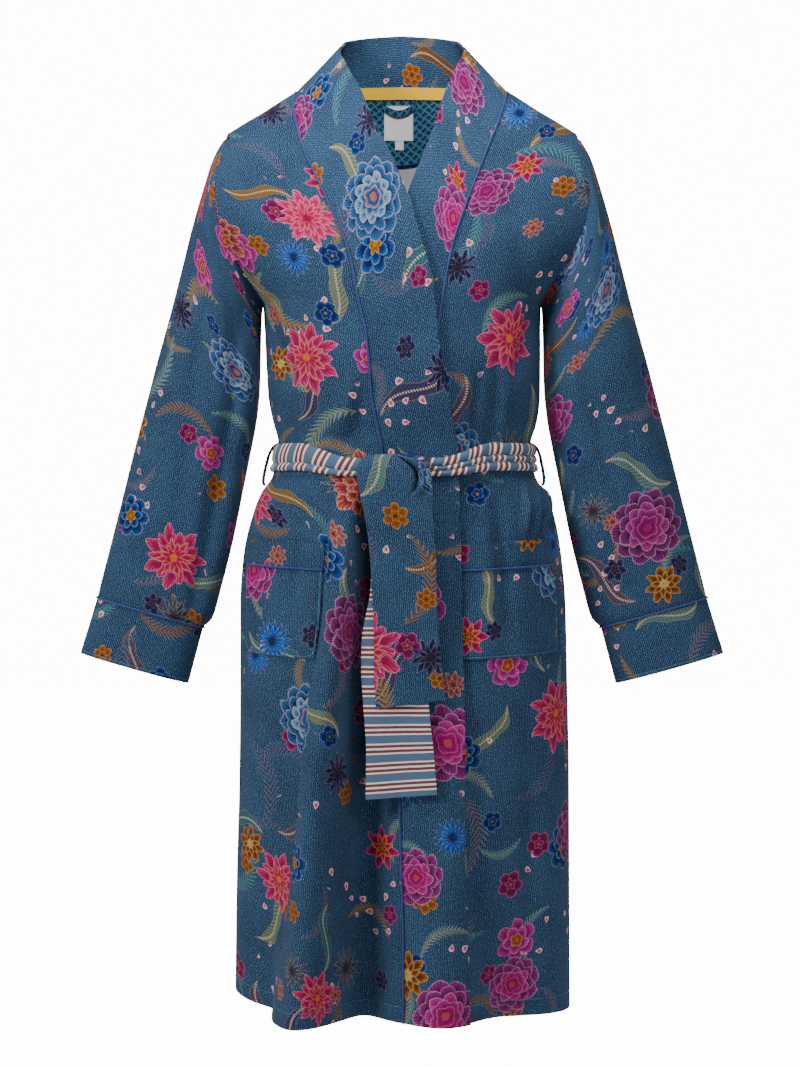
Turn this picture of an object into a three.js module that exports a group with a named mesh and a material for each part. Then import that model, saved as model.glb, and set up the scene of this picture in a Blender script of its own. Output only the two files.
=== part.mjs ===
// Kimono robe of printed jersey, filled out as if worn.
// Millimetres, +Z up, the front faces -Y. The origin lies between the two neck points,
// at the height of the neck seam. Right is the wearer's right, which is at -X.
import * as THREE from 'three'

const RIGHT = -1
const LEFT = 1

// Cloth
const CLOTH = 1.8
const DOUBLE_CLOTH = 3
const POCKET_CLOTH = 1.5
const SEAM = 0.3
const HALF_SEAM = SEAM / 2
const PIPING_RADIUS = 1.1
const PIPING_SIDES = 5
const PIPING_HEIGHT = SEAM + PIPING_RADIUS

// Body form
const SQUARENESS = 2.4
const SHOULDER_TIP_Z = -50
const UNDERARM_Z = -245
const NECK_POINT_Z = 0
const HEM_Z = -1040
const NAPE_RISE = 4
const NAPE_BLEND = 60

// The right front wraps over the left: its layer rises off the form towards the centre
const LAP = 8
const LAP_X = { starts: -130, full: -80 }
const LAP_Z = { starts: -20, full: -90 }

// Sections of the body: depths to the front and the back, and half-widths to each side up to the
// underarm; above it the armholes and the shoulder seams set the width
const SECTIONS = [
  { z: -1060, right: 190, left: 191, front: 118, back: 118 },
  { z: -900, right: 188, left: 190.5, front: 118, back: 116 },
  { z: -780, right: 185, left: 190, front: 116, back: 114 },
  { z: -680, right: 184, left: 188, front: 114, back: 112 },
  { z: -590, right: 184, left: 186, front: 110, back: 110 },
  { z: -535, right: 180, left: 181, front: 106, back: 106 },
  { z: -490, right: 170, left: 173, front: 101, back: 100 },
  { z: -460, right: 160, left: 163, front: 98, back: 95 },
  { z: -440, right: 148, left: 152, front: 95, back: 90 },
  { z: -420, right: 143, left: 148, front: 94, back: 88 },
  { z: -400, right: 141, left: 147, front: 95, back: 88 },
  { z: -380, right: 146, left: 153, front: 100, back: 91 },
  { z: -350, right: 152, left: 157, front: 106, back: 94 },
  { z: -300, right: 155, left: 157.5, front: 110, back: 96 },
  { z: -245, right: 158.4, left: 158.4, front: 110, back: 98 },
  { z: -200, front: 106, back: 99 },
  { z: -150, front: 98, back: 97 },
  { z: -100, front: 84, back: 92 },
  { z: -50, front: 64, back: 82 },
  { z: -25, front: 54, back: 76 },
  { z: 0, front: 44, back: 68 },
  { z: 12, front: 39, back: 64 },
]

// The shoulder seam, from the sleeve up to the neck
const SHOULDER = [
  { z: -50, x: 199 },
  { z: -38, x: 180 },
  { z: -25, x: 158 },
  { z: -12, x: 138 },
  { z: 0, x: 119 },
  { z: 12, x: 100 },
]

// The armhole: an oval loop that bows out at the front and the back
const ARMHOLE = { x: 178.7, z: -147.5, tilt: 20.3, height: 97.5, front: 60, back: 68, bow: 28 }
const BOW_SHARPNESS = 3

// The side edges rise: the pocket lines slope down to the centre, and the hem lifts at the right side
const POCKET_SLOPE = [
  { z: -800, rise: 0 },
  { z: -650, rise: 9 },
  { z: -520, rise: 9 },
  { z: -440, rise: 0 },
]
const HEM_RISE_SHARPNESS = 6
const RIGHT_HEM_RISE = [
  { z: -1040, rise: 21 },
  { z: -800, rise: 0 },
]

// Front folds: where each line runs, and how far it stands out from the form
const FRONT_FOLDS = {
  sideDip: [
    { z: -1040, x: -160, push: -18 },
    { z: -850, x: -152, push: -6 },
    { z: -760, x: -150, push: 0 },
    { z: -520, x: -130, push: 0 },
    { z: -320, x: -115, push: 0 },
  ],
  foot: [
    { z: -1040, x: -146, push: -2 },
    { z: -850, x: -118, push: 0 },
    { z: -700, x: -101, push: 0 },
    { z: -600, x: -86, push: 0 },
    { z: -500, x: -80, push: 0 },
    { z: -440, x: -74, push: 0 },
    { z: -389, x: -82, push: 0 },
    { z: -320, x: -74, push: 0 },
  ],
  shoulder: [
    { z: -1040, x: -124, push: 28 },
    { z: -850, x: -107, push: 24 },
    { z: -700, x: -94, push: 24 },
    { z: -600, x: -79.5, push: 23 },
    { z: -560, x: -76, push: 20 },
    { z: -500, x: -73.4, push: 12 },
    { z: -463, x: -67, push: 4 },
    { z: -440, x: -66, push: 0 },
    { z: -404, x: -72, push: 0 },
    { z: -385, x: -72, push: 4 },
    { z: -354, x: -63, push: 3 },
    { z: -320, x: -60, push: 0 },
  ],
  crest: [
    { z: -1040, x: -104, push: 42 },
    { z: -850, x: -92, push: 36 },
    { z: -700, x: -76, push: 33 },
    { z: -600, x: -66, push: 30 },
    { z: -560, x: -61, push: 26 },
    { z: -500, x: -58, push: 16 },
    { z: -463, x: -57, push: 6 },
    { z: -440, x: -58, push: 0 },
    { z: -404, x: -65, push: 0 },
    { z: -385, x: -64, push: 6 },
    { z: -354, x: -56, push: 5 },
    { z: -320, x: -52, push: 0 },
  ],
  valley: [
    { z: -1040, x: -46, push: -44 },
    { z: -850, x: -40, push: -30 },
    { z: -700, x: -35, push: -25 },
    { z: -600, x: -30, push: -22 },
    { z: -560, x: -29.5, push: -19 },
    { z: -500, x: -28, push: -10 },
    { z: -463, x: -27, push: -3 },
    { z: -440, x: -27, push: 0 },
    { z: -404, x: -42, push: 0 },
    { z: -385, x: -45, push: -3 },
    { z: -354, x: -40, push: -3 },
    { z: -320, x: -38, push: 0 },
  ],
  seamEase: [
    { z: -1040, x: -4, push: -10 },
    { z: -850, x: -2, push: -6 },
    { z: -560, x: -2, push: -3 },
    { z: -463, x: -2, push: 0 },
    { z: -320, x: -2, push: 0 },
  ],
  bandCrest: [
    { z: -1040, x: 42, push: 18 },
    { z: -940, x: 44, push: 9 },
    { z: -850, x: 45, push: 3 },
    { z: -770, x: 46, push: 0 },
    { z: -320, x: 46, push: 0 },
  ],
  leftDip: [
    { z: -1040, x: 118, push: -19 },
    { z: -850, x: 116, push: -9 },
    { z: -700, x: 112, push: -2 },
    { z: -640, x: 112, push: 0 },
    { z: -440, x: 100, push: 0 },
    { z: -385, x: 95, push: -4 },
    { z: -340, x: 92, push: 0 },
  ],
}

// Three gathers under the belt at the left, all at their fullest at one height
const GATHERS = { from: 132, pitch: 12, count: 3, push: 4, top: -440, fullest: -478, foot: -517 }

// Back folds below the belt: soft waves, each fullest at the hem
const BACK_FOLDS = [
  { x: -138, hem: -12, top: -620 },
  { x: -88, hem: 15, top: -560 },
  { x: -36, hem: -14, top: -600 },
  { x: 18, hem: 11, top: -680 },
  { x: 72, hem: -15, top: -540 },
  { x: 124, hem: 12, top: -620 },
]

// Seams between each front and its band
const BAND_SEAM = {
  [RIGHT]: [
    { z: -1060, x: 2 },
    { z: -973, x: 2 },
    { z: -856, x: -1 },
    { z: -791, x: -3 },
    { z: -650, x: -10 },
    { z: -500, x: -18 },
    { z: -420, x: -21 },
    { z: -387, x: -26.6 },
    { z: -354, x: -33 },
    { z: -314, x: -36 },
    { z: -286, x: -38.5 },
    { z: -250, x: -46.5 },
    { z: -201, x: -56 },
    { z: -132, x: -84 },
    { z: -74, x: -110 },
    { z: -45, x: -118.5 },
    { z: -19, x: -122 },
    { z: 0, x: -119 },
  ],
  [LEFT]: [
    { z: -1060, x: 0 },
    { z: -700, x: 8 },
    { z: -420, x: 20 },
    { z: -350, x: 29 },
    { z: -286, x: 38 },
    { z: -240, x: 45 },
    { z: -192, x: 54 },
    { z: -140, x: 70.5 },
    { z: -110, x: 82 },
    { z: -73, x: 96 },
    { z: -45, x: 107 },
    { z: -19, x: 115 },
    { z: 0, x: 119 },
  ],
}

// The band's free edge, by its station along the seam. A station is the height in hundreds down the
// front, and runs from 0 at the neck point to 1 at the centre back. rise is its height above the seam,
// and cling is how far the band lies on the form (1) or stands free (0).
const STATION_HEIGHT = 100
const BAND_EDGE = [
  { station: -10.6, right: 73, left: -72, y: 0, rise: 0, cling: 1 },
  { station: -7.94, right: 69, left: -64, y: 0, rise: 0, cling: 1 },
  { station: -5.48, right: 64.6, left: -59, y: 0, rise: 0, cling: 1 },
  { station: -4.2, right: 60.5, left: -54, y: 0, rise: 0, cling: 1 },
  { station: -4.04, right: 59, left: -52, y: 0, rise: 3, cling: 1 },
  { station: -3.6, right: 48, left: -44, y: 0, rise: 15, cling: 1 },
  { station: -3.2, right: 39.5, left: -36, y: 0, rise: 30, cling: 1 },
  { station: -2.8, right: 34.5, left: -27, y: 0, rise: 44, cling: 1 },
  { station: -2.45, right: 25, left: -14, y: 0, rise: 50, cling: 1 },
  { station: -2.16, right: 14, left: -3, y: 0, rise: 58, cling: 1 },
  { station: -1.85, right: 1, left: 10, y: -90, rise: 69, cling: 1 },
  { station: -1.475, right: -15, left: 25, y: -75, rise: 69.5, cling: 0.9 },
  { station: -1.1, right: -33, left: 38.5, y: -57, rise: 71, cling: 0.6 },
  { station: -0.786, right: -45, left: 48, y: -41, rise: 71, cling: 0.3 },
  { station: -0.5, right: -57, left: 57, y: -29, rise: 65, cling: 0.1 },
  { station: -0.32, right: -63, left: 63, y: -21, rise: 60, cling: 0 },
  { station: 0, right: -71, left: 71, y: -5, rise: 50, cling: 0 },
  { station: 0.33, right: -66, left: 66, y: 25, rise: 60, cling: 0 },
  { station: 0.67, right: -42, left: 42, y: 50, rise: 67, cling: 0 },
  { station: 1, right: 0, left: 0, y: 62, rise: 71, cling: 0 },
]
const BAND_COLUMNS = [0, 0.17, 0.38, 0.6, 0.8, 1]

// Sleeve rings, from the armhole to the cuff seam: outer point, inner point, depths and bow
const SLEEVE = [
  { ox: 199, oz: -50, ix: 158.4, iz: -245, front: 60, back: 68, bow: 28 },
  { ox: 214, oz: -75, ix: 159.6, iz: -254, front: 63, back: 69, bow: 25 },
  { ox: 226, oz: -112, ix: 160.3, iz: -268, front: 65, back: 69, bow: 20 },
  { ox: 239, oz: -158, ix: 160.8, iz: -290, front: 65, back: 68, bow: 13 },
  { ox: 252, oz: -210, ix: 161.2, iz: -314, front: 63, back: 65, bow: 7 },
  { ox: 265, oz: -260, ix: 162, iz: -340, front: 60, back: 62, bow: 2 },
  { ox: 279, oz: -310, ix: 165, iz: -372, front: 57, back: 58, bow: 0 },
  { ox: 292, oz: -360, ix: 172, iz: -410, front: 53, back: 54, bow: 0 },
  { ox: 305, oz: -410, ix: 181, iz: -455, front: 49, back: 50, bow: 0 },
  { ox: 320, oz: -470, ix: 192, iz: -510, front: 44, back: 45, bow: 0 },
  { ox: 334, oz: -525, ix: 205, iz: -562, front: 39, back: 40, bow: 0 },
  { ox: 345, oz: -568, ix: 216.5, iz: -601, front: 35, back: 36, bow: 0 },
  { ox: 347, oz: -576.5, ix: 226.5, iz: -610.5, front: 32, back: 33, bow: 0 },
]
const SLEEVE_SIDES = 16
const SLEEVE_SQUARENESS = { armhole: 2, wrist: 2.3, blend: 4 }
const ARMHOLE_GAP = 0.35
const CUFF = { drop: { x: 18, z: -63 }, rings: [0, 0.5, 1], spread: 1.02 }

// Heights of the panels' rows; those of the armhole follow its loop
const SHOULDER_ROWS = [-2, -14, -32]
const LOWER_ROWS = [
  -280, -320, -354, -385, -404, -420, -436, -450, -482, -517, -546, -595, -644, -700, -770, -850, -945, HEM_Z,
]
const GUIDE_TOP_Z = -320
const BACK_HALF_COLUMNS = 12

// Pockets: the rows and the sizes that both share
const POCKET = { top: -517, piping: -546, bottom: -644, clear: 2, gape: 5 }
const POCKET_EDGES = { rightOuter: -174, leftOuter: 171, leftInner: 50, leftGathers: 132, sizedAt: -580 }

// Back neck
const FACING = { halfColumns: 5, pitch: 11.5, depth: 74, halfWidth: 66, top: -1, rows: 5, thickness: 1 }
const FACING_GAP = 0.75
const TAPE = { firstColumn: 2, thickness: 0.8 }
const LABEL = { x: -4, width: 34, top: -9, bottom: -45, thickness: 0.8 }
const SIZE_TAB = { x: -3, width: 10, top: -45.4, bottom: -55 }
const HANGER = { x: -4, halfWidth: 20, top: -3, sag: 11, bow: 0.7, height: 7, thickness: 1.2, steps: 10 }

// Belt
const BELT = { sideZ: -418.5, knotZ: -431, halfHeight: 15.5, thickness: 5, knotPinch: 0.66, gap: 0.8 }
const BELT_SECTION = [
  { up: -1, out: 0.5 },
  { up: -0.85, out: 0 },
  { up: 0.85, out: 0 },
  { up: 1, out: 0.5 },
  { up: 0.82, out: 1 },
  { up: 0, out: 0.85 },
  { up: -0.82, out: 1 },
]
const BELT_STEPS = { side: 15, back: 28 }
const BELT_STEP_DOWN = { starts: 67, ends: 112 }
const BELT_PINCH = { x: -7, starts: 110, full: 45 }
const KNOT = { right: -49.6, left: 35.6, seat: LAP + 3 }
// Round the knot from its top: heights as shares of its half-height, faces from its seat (0) to its front (1)
const KNOT_PROFILE = [
  { up: 1, out: 0.35, proud: 0 },
  { up: 0.68, out: 0, proud: 0 },
  { up: -0.68, out: 0, proud: 0 },
  { up: -1, out: 0.3, proud: 0 },
  { up: -1, out: 0.9, proud: 0 },
  { up: -0.68, out: 1, proud: 0 },
  { up: 0, out: 1, proud: 1.5 },
  { up: 0.68, out: 1, proud: -1 },
  { up: 1, out: 0.75, proud: 0 },
]
// Sections of the knot, across: its height range and how far its face stands out
const KNOT_SECTIONS = [
  { x: -49.6, top: -422, bottom: -447, front: -113 },
  { x: -42, top: -418.5, bottom: -455, front: -124 },
  { x: -28, top: -416.5, bottom: -461.6, front: -130 },
  { x: -8, top: -415.5, bottom: -461.6, front: -132 },
  { x: 12, top: -416.5, bottom: -461.6, front: -132.5 },
  { x: 27, top: -420.5, bottom: -461.6, front: -131 },
  { x: 35.6, top: -427, bottom: -450, front: -117 },
]
const TAIL_THICKNESS = 2.6
const FRONT_TAIL = [
  { z: -462, right: -46, left: 31.5, y: -128.6 },
  { z: -500, right: -38.2, left: 34.8, y: -128.6 },
  { z: -533, right: -34.8, left: 37, y: -129 },
  { z: -568, right: -32.7, left: 37.5, y: -129.4 },
  { z: -620, right: -30.5, left: 40.3, y: -129.8 },
  { z: -655, right: -30.5, left: 43.4, y: -130 },
  { z: -690, right: -28.3, left: 46.3, y: -130.2, slope: 5 },
]
const BACK_TAIL = [
  { z: -462, right: -34, left: 26, y: -125.4 },
  { z: -520, right: -33, left: 27, y: -125.5 },
  { z: -568, right: -34.9, left: 27, y: -125.8 },
  { z: -594, right: -39.8, left: 27, y: -126 },
  { z: -620, right: -44.1, left: 27, y: -126.3 },
  { z: -647, right: -44.7, left: 27.5, y: -126.6 },
  { z: -690, right: -42.5, left: 29, y: -126.9 },
  { z: -741, right: -39.2, left: 34, y: -127.6 },
  { z: -791, right: -39.8, left: 38.1, y: -128.4, slope: 2.7 },
]
const TAIL_COLUMNS = 5
const BELT_LOOP = {
  top: -390, bottom: -460, seat: 1.7, stand: 8.6, bow: 0.6, width: 6, thickness: 1.2, steps: 12,
}

const COLOURS = {
  print: 0x2f5a78,
  piping: 0x39489a,
  stripe: 0x5b7488,
  facing: 0x12466c,
  tape: 0xe8cb62,
  label: 0xf4f4f2,
}
const CLOTH_ROUGHNESS = 0.85

// Small sums
const clamp = (value) => Math.min(1, Math.max(0, value))
const mix = (from, to, share) => from + (to - from) * share
const degrees = (angle) => (angle * Math.PI) / 180
const counted = (count) => Array.from({ length: count }, (_, index) => index)

function smoothstep(from, to, value) {
  const share = clamp((value - from) / (to - from))
  return share * share * (3 - 2 * share)
}

// A smooth curve through points in rising order, which never overshoots between them
function smoothCurve(at, value) {
  const slope = value.slice(1).map((next, i) => (next - value[i]) / (at[i + 1] - at[i]))
  const tangent = value.map((_, i) => {
    if (i === 0) return slope[0]
    if (i === value.length - 1) return slope[i - 1]
    const [before, after] = [slope[i - 1], slope[i]]
    return before * after <= 0 ? 0 : (2 * before * after) / (before + after)
  })
  return (where) => {
    const x = Math.min(Math.max(where, at[0]), at[at.length - 1])
    let i = 0
    while (i < at.length - 2 && x > at[i + 1]) i += 1
    const width = at[i + 1] - at[i]
    const s = (x - at[i]) / width
    const rise = value[i + 1] - value[i]
    const [enter, leave] = [tangent[i] * width, tangent[i + 1] * width]
    return value[i] + s * (enter + s * (3 * rise - 2 * enter - leave + s * (enter + leave - 2 * rise)))
  }
}

function profile(rows, key, column) {
  const sorted = rows.filter((row) => column in row).sort((a, b) => a[key] - b[key])
  return smoothCurve(sorted.map((row) => row[key]), sorted.map((row) => row[column]))
}

const sideWidth = { [RIGHT]: profile(SECTIONS, 'z', 'right'), [LEFT]: profile(SECTIONS, 'z', 'left') }
const depths = { front: profile(SECTIONS, 'z', 'front'), back: profile(SECTIONS, 'z', 'back') }
const shoulderX = profile(SHOULDER, 'z', 'x')
const pocketSlope = profile(POCKET_SLOPE, 'z', 'rise')
const rightHemRise = profile(RIGHT_HEM_RISE, 'z', 'rise')
const seamX = { [RIGHT]: profile(BAND_SEAM[RIGHT], 'z', 'x'), [LEFT]: profile(BAND_SEAM[LEFT], 'z', 'x') }
const foldLines = Object.fromEntries(
  Object.entries(FRONT_FOLDS).map(([name, rows]) => [
    name, { x: profile(rows, 'z', 'x'), push: profile(rows, 'z', 'push') },
  ]),
)

// Body form

function armholePoint(around, face) {
  const bow = Math.abs(Math.sin(around)) ** BOW_SHARPNESS
  return {
    x: ARMHOLE.x + ARMHOLE.tilt * Math.cos(around) + ARMHOLE.bow * bow,
    y: ARMHOLE[face] * Math.sin(around),
    z: ARMHOLE.z + ARMHOLE.height * Math.cos(around),
  }
}

function armholeAtHeight(z, face) {
  return armholePoint(Math.acos(Math.min(1, Math.max(-1, (z - ARMHOLE.z) / ARMHOLE.height))), face)
}

function halfWidth(z, side, face) {
  if (z <= UNDERARM_Z) return sideWidth[side](z)
  if (z >= SHOULDER_TIP_Z) return shoulderX(z)
  const edge = armholeAtHeight(z, face)
  return edge.x / (1 - (edge.y / depths[face](z)) ** SQUARENESS) ** (1 / SQUARENESS)
}

// The turn about the form at a place x: 0 at the centre front, a right angle at the side
function turnAt(x, z, face = 'front') {
  const side = x < 0 ? RIGHT : LEFT
  const across = Math.min(1, Math.abs(x) / halfWidth(z, side, face))
  const along = (1 - across ** SQUARENESS) ** (1 / SQUARENESS)
  const turn = Math.atan2(across, along)
  return side * (face === 'front' ? turn : Math.PI - turn)
}

function sideTurn(z, side, face) {
  if (z <= UNDERARM_Z || z >= SHOULDER_TIP_Z) return (side * Math.PI) / 2
  return turnAt(side * armholeAtHeight(z, face).x, z, face)
}

function gatherPush(x, z) {
  const end = GATHERS.from + GATHERS.pitch * GATHERS.count
  if (x < GATHERS.from || x > end || z > GATHERS.top || z < GATHERS.foot) return 0
  const fade = z > GATHERS.fullest ? GATHERS.top : GATHERS.foot
  const wave = 0.5 - 0.5 * Math.cos((2 * Math.PI * (x - GATHERS.from)) / GATHERS.pitch)
  return GATHERS.push * wave * smoothstep(fade, GATHERS.fullest, z)
}

function frontPush(x, z) {
  if (z > GUIDE_TOP_Z) return 0
  const lines = Object.values(foldLines)
  const at = [-sideWidth[RIGHT](z), ...lines.map((line) => line.x(z)), sideWidth[LEFT](z)]
  const push = [0, ...lines.map((line) => line.push(z)), 0]
  return smoothCurve(at, push)(x) + gatherPush(x, z)
}

function backPush(x, z) {
  const at = [-sideWidth[RIGHT](z), ...BACK_FOLDS.map((fold) => fold.x), sideWidth[LEFT](z)]
  if (z > GUIDE_TOP_Z || at[1] < at[0] || at.at(-2) > at.at(-1)) return 0
  const push = [0, ...BACK_FOLDS.map((fold) => fold.hem * smoothstep(fold.top, HEM_Z, z)), 0]
  return smoothCurve(at, push)(x)
}

const noLift = () => 0
const topLift = (x, z) =>
  LAP * smoothstep(LAP_X.starts, LAP_X.full, x) * smoothstep(LAP_Z.starts, LAP_Z.full, z)

// A point of the form, lifted off it by lift(x, z)
function formPoint(turn, z, lift = noLift) {
  const side = Math.sin(turn) < 0 ? RIGHT : LEFT
  const face = Math.cos(turn) >= 0 ? 'front' : 'back'
  const facing = face === 'front' ? -1 : 1
  const width = halfWidth(z, side, face)
  const depth = depths[face](z)
  const sine = Math.abs(Math.sin(turn))
  const cosine = Math.abs(Math.cos(turn))
  const reach = (sine ** SQUARENESS + cosine ** SQUARENESS) ** (1 / SQUARENESS)
  const across = sine / reach
  const along = cosine / reach
  const x = side * width * across
  const nx = (side * across ** (SQUARENESS - 1)) / width
  const ny = (facing * along ** (SQUARENESS - 1)) / depth
  const push = (lift(x, z) + (face === 'front' ? frontPush(x, z) : backPush(x, z))) / Math.hypot(nx, ny)
  const nape = face === 'back' ? NAPE_RISE * (1 - sine ** 2) * smoothstep(-NAPE_BLEND, NECK_POINT_Z, z) : 0
  const hem = side === RIGHT ? rightHemRise(z) * sine ** HEM_RISE_SHARPNESS : 0
  const height = z + nape + pocketSlope(z) * sine ** 2 + hem
  return new THREE.Vector3(x + nx * push, facing * depth * along + ny * push, height)
}

function surfaceNormal(surface, u, v, du, dv) {
  const alongU = surface(u + du, v).sub(surface(u - du, v))
  const alongV = surface(u, v + dv).sub(surface(u, v - dv))
  return alongU.cross(alongV).normalize()
}

const TURN_STEP = degrees(0.15)
const HEIGHT_STEP = 0.4

// A place on the form, with its outward normal
function formSpot(turn, z, lift = noLift) {
  const surface = (t, h) => formPoint(t, h, lift)
  return { point: surface(turn, z), normal: surfaceNormal(surface, turn, z, TURN_STEP, HEIGHT_STEP) }
}

const moved = (spot, distance) => ({
  point: spot.point.clone().addScaledVector(spot.normal, distance),
  normal: spot.normal,
})
const shifted = (spot, x, y, z) => ({
  point: spot.point.clone().add(new THREE.Vector3(x, y, z)),
  normal: spot.normal,
})

// Meshes

function signedVolume(points, faces) {
  const cross = new THREE.Vector3()
  return faces.reduce((sum, [a, b, c]) => {
    cross.crossVectors(points[b], points[c])
    return sum + points[a].dot(cross) / 6
  }, 0)
}

function solid(points, faces) {
  const outward = signedVolume(points, faces) > 0 ? faces : faces.map(([a, b, c]) => [a, c, b])
  const geometry = new THREE.BufferGeometry()
  geometry.setAttribute('position', new THREE.Float32BufferAttribute(points.flatMap((p) => p.toArray()), 3))
  geometry.setIndex(outward.flat())
  geometry.computeVertexNormals()
  return geometry
}

const quad = (a, b, c, d) => [[a, b, c], [a, c, d]]

// A wall of cloth from a grid of spots on its outer face; a closed one joins its last column to its first
function wall(grid, thickness, closed = false) {
  const rows = grid.length
  const columns = grid[0].length
  const inner = rows * columns
  const spots = grid.flat()
  const points = [...spots.map((spot) => spot.point), ...spots.map((spot) => moved(spot, -thickness).point)]
  const at = (i, j) => i * columns + (j % columns)
  const faces = []
  const spans = closed ? columns : columns - 1
  for (const i of counted(rows - 1)) {
    for (const j of counted(spans)) {
      const [a, b, c, d] = [at(i, j), at(i, j + 1), at(i + 1, j + 1), at(i + 1, j)]
      faces.push(...quad(a, b, c, d), ...quad(inner + a, inner + d, inner + c, inner + b))
    }
  }
  const rim = (a, b) => faces.push(...quad(b, a, inner + a, inner + b))
  for (const j of counted(spans)) {
    rim(at(0, j), at(0, j + 1))
    rim(at(rows - 1, j + 1), at(rows - 1, j))
  }
  if (!closed) {
    for (const i of counted(rows - 1)) {
      rim(at(i + 1, 0), at(i, 0))
      rim(at(i, columns - 1), at(i + 1, columns - 1))
    }
  }
  return solid(points, faces)
}

// A solid through rings of points; a looped one joins its last ring to its first, others get flat ends
function loft(rings, looped = false) {
  const size = rings[0].length
  const at = (i, j) => (i % rings.length) * size + (j % size)
  const faces = []
  for (const i of counted(looped ? rings.length : rings.length - 1)) {
    for (const j of counted(size)) {
      faces.push(...quad(at(i, j), at(i, j + 1), at(i + 1, j + 1), at(i + 1, j)))
    }
  }
  if (!looped) {
    const last = rings.length - 1
    for (const j of counted(size - 2)) {
      faces.push([at(0, 0), at(0, j + 2), at(0, j + 1)])
      faces.push([at(last, 0), at(last, j + 1), at(last, j + 2)])
    }
  }
  return solid(rings.flat(), faces)
}

// A round cord whose centre line runs through spots; each normal sets how its section stands
function cord(spots, radius, sides, looped = false) {
  const last = spots.length - 1
  const rings = spots.map((spot, i) => {
    const before = looped ? spots[(i + last) % spots.length] : spots[Math.max(0, i - 1)]
    const after = looped ? spots[(i + 1) % spots.length] : spots[Math.min(last, i + 1)]
    const run = after.point.clone().sub(before.point).normalize()
    const sideways = run.clone().cross(spot.normal).normalize()
    const up = sideways.clone().cross(run)
    return counted(sides).map((j) => {
      const angle = (2 * Math.PI * j) / sides
      return spot.point.clone()
        .addScaledVector(up, radius * Math.cos(angle))
        .addScaledVector(sideways, radius * Math.sin(angle))
    })
  })
  return loft(rings, looped)
}

// Body panels

const sleeveAngles = counted(SLEEVE_SIDES).map((k) => (2 * Math.PI * k) / SLEEVE_SIDES)
const armholeAngles = sleeveAngles.slice(0, SLEEVE_SIDES / 2 + 1)
const armholeRows = armholeAngles.map((around) => armholePoint(around, 'front').z)
const frontRows = [...SHOULDER_ROWS, ...armholeRows, ...LOWER_ROWS]
const backRows = [NECK_POINT_Z, ...SHOULDER_ROWS.slice(1), ...armholeRows, ...LOWER_ROWS]

// The guide lines that a front's columns follow, from the side to the band seam, each with the number
// of columns up to it. Above the guides' top height each keeps its share of the width.
const GUIDES = {
  [RIGHT]: [
    { columns: 3, turn: () => turnAt(POCKET_EDGES.rightOuter, POCKET_EDGES.sizedAt) },
    { columns: 7, turn: (z) => turnAt(foldLines.foot.x(z) - POCKET.clear, z) },
    { columns: 1, turn: (z) => turnAt(foldLines.foot.x(z), z) },
    { columns: 2, turn: (z) => turnAt(foldLines.shoulder.x(z), z) },
    { columns: 2, turn: (z) => turnAt(foldLines.crest.x(z), z) },
  ],
  [LEFT]: [
    { columns: 2, turn: () => turnAt(POCKET_EDGES.leftOuter, POCKET_EDGES.sizedAt) },
    { columns: 6, turn: (z) => turnAt(POCKET_EDGES.leftGathers, Math.min(z, GATHERS.top)) },
    { columns: 5, turn: (z) => turnAt(POCKET_EDGES.leftInner, z) },
  ],
}
const LAST_COLUMNS = { [RIGHT]: 4, [LEFT]: 4 }

function frontTurns(side, z) {
  const held = Math.min(z, GUIDE_TOP_Z)
  const from = sideTurn(held, side, 'front')
  const to = turnAt(seamX[side](held), held)
  const stops = [
    { columns: 0, share: 0 },
    ...GUIDES[side].map(({ columns, turn }) => ({ columns, share: (turn(held) - from) / (to - from) })),
    { columns: LAST_COLUMNS[side], share: 1 },
  ]
  const shares = [0]
  for (const k of counted(stops.length - 1)) {
    const [start, end] = [stops[k], stops[k + 1]]
    counted(end.columns).forEach((i) => shares.push(mix(start.share, end.share, (i + 1) / end.columns)))
  }
  const first = sideTurn(z, side, 'front')
  const last = turnAt(seamX[side](z), z)
  return shares.map((share) => mix(first, last, share))
}

// At the side and shoulder seams both panels end on one plane, so their normals lie in it
const SEAM_PLANE_REACH = 1

function seamEnd(spot, gap) {
  const onSeam = Math.abs(spot.point.y) < SEAM_PLANE_REACH
  if (onSeam) spot.normal.setY(0).normalize()
  return shifted(spot, 0, gap, 0)
}

function frontPanel(side, lift) {
  return frontRows.map((z) =>
    frontTurns(side, z).map((turn, j) => {
      const spot = formSpot(turn, z, lift)
      return j === 0 ? seamEnd(spot, -HALF_SEAM) : spot
    }),
  )
}

function backTurn(column, z) {
  const side = column < 0 ? RIGHT : LEFT
  const share = Math.abs(column) / BACK_HALF_COLUMNS
  return side * mix(Math.PI, Math.abs(sideTurn(z, side, 'back')), share)
}

const backColumns = counted(2 * BACK_HALF_COLUMNS + 1).map((j) => j - BACK_HALF_COLUMNS)

function backPanel() {
  return backRows.map((z) =>
    backColumns.map((column) => {
      const spot = formSpot(backTurn(column, z), z)
      return Math.abs(column) === BACK_HALF_COLUMNS ? seamEnd(spot, HALF_SEAM) : spot
    }),
  )
}

const panels = { [RIGHT]: frontPanel(RIGHT, topLift), [LEFT]: frontPanel(LEFT, noLift) }
const lifts = { [RIGHT]: topLift, [LEFT]: noLift }

// Neck band and its piping

const bandEdge = Object.fromEntries(
  ['right', 'left', 'y', 'rise', 'cling'].map((column) => [column, profile(BAND_EDGE, 'station', column)]),
)

// Stations along the band: up the front at the panel's rows, then round the neck at the back's columns
const bandStations = [
  ...[...frontRows].reverse().map((z) => ({ station: z / STATION_HEIGHT, z })),
  ...counted(BACK_HALF_COLUMNS + 1).map((k) => ({ station: k / BACK_HALF_COLUMNS, z: NECK_POINT_Z })),
]

function bandSeamPoint(side, { station, z }, lift) {
  if (station < 0) return formPoint(turnAt(seamX[side](z), z), z, lift)
  return formPoint(side * mix(Math.PI / 2, Math.PI, station), z)
}

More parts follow.
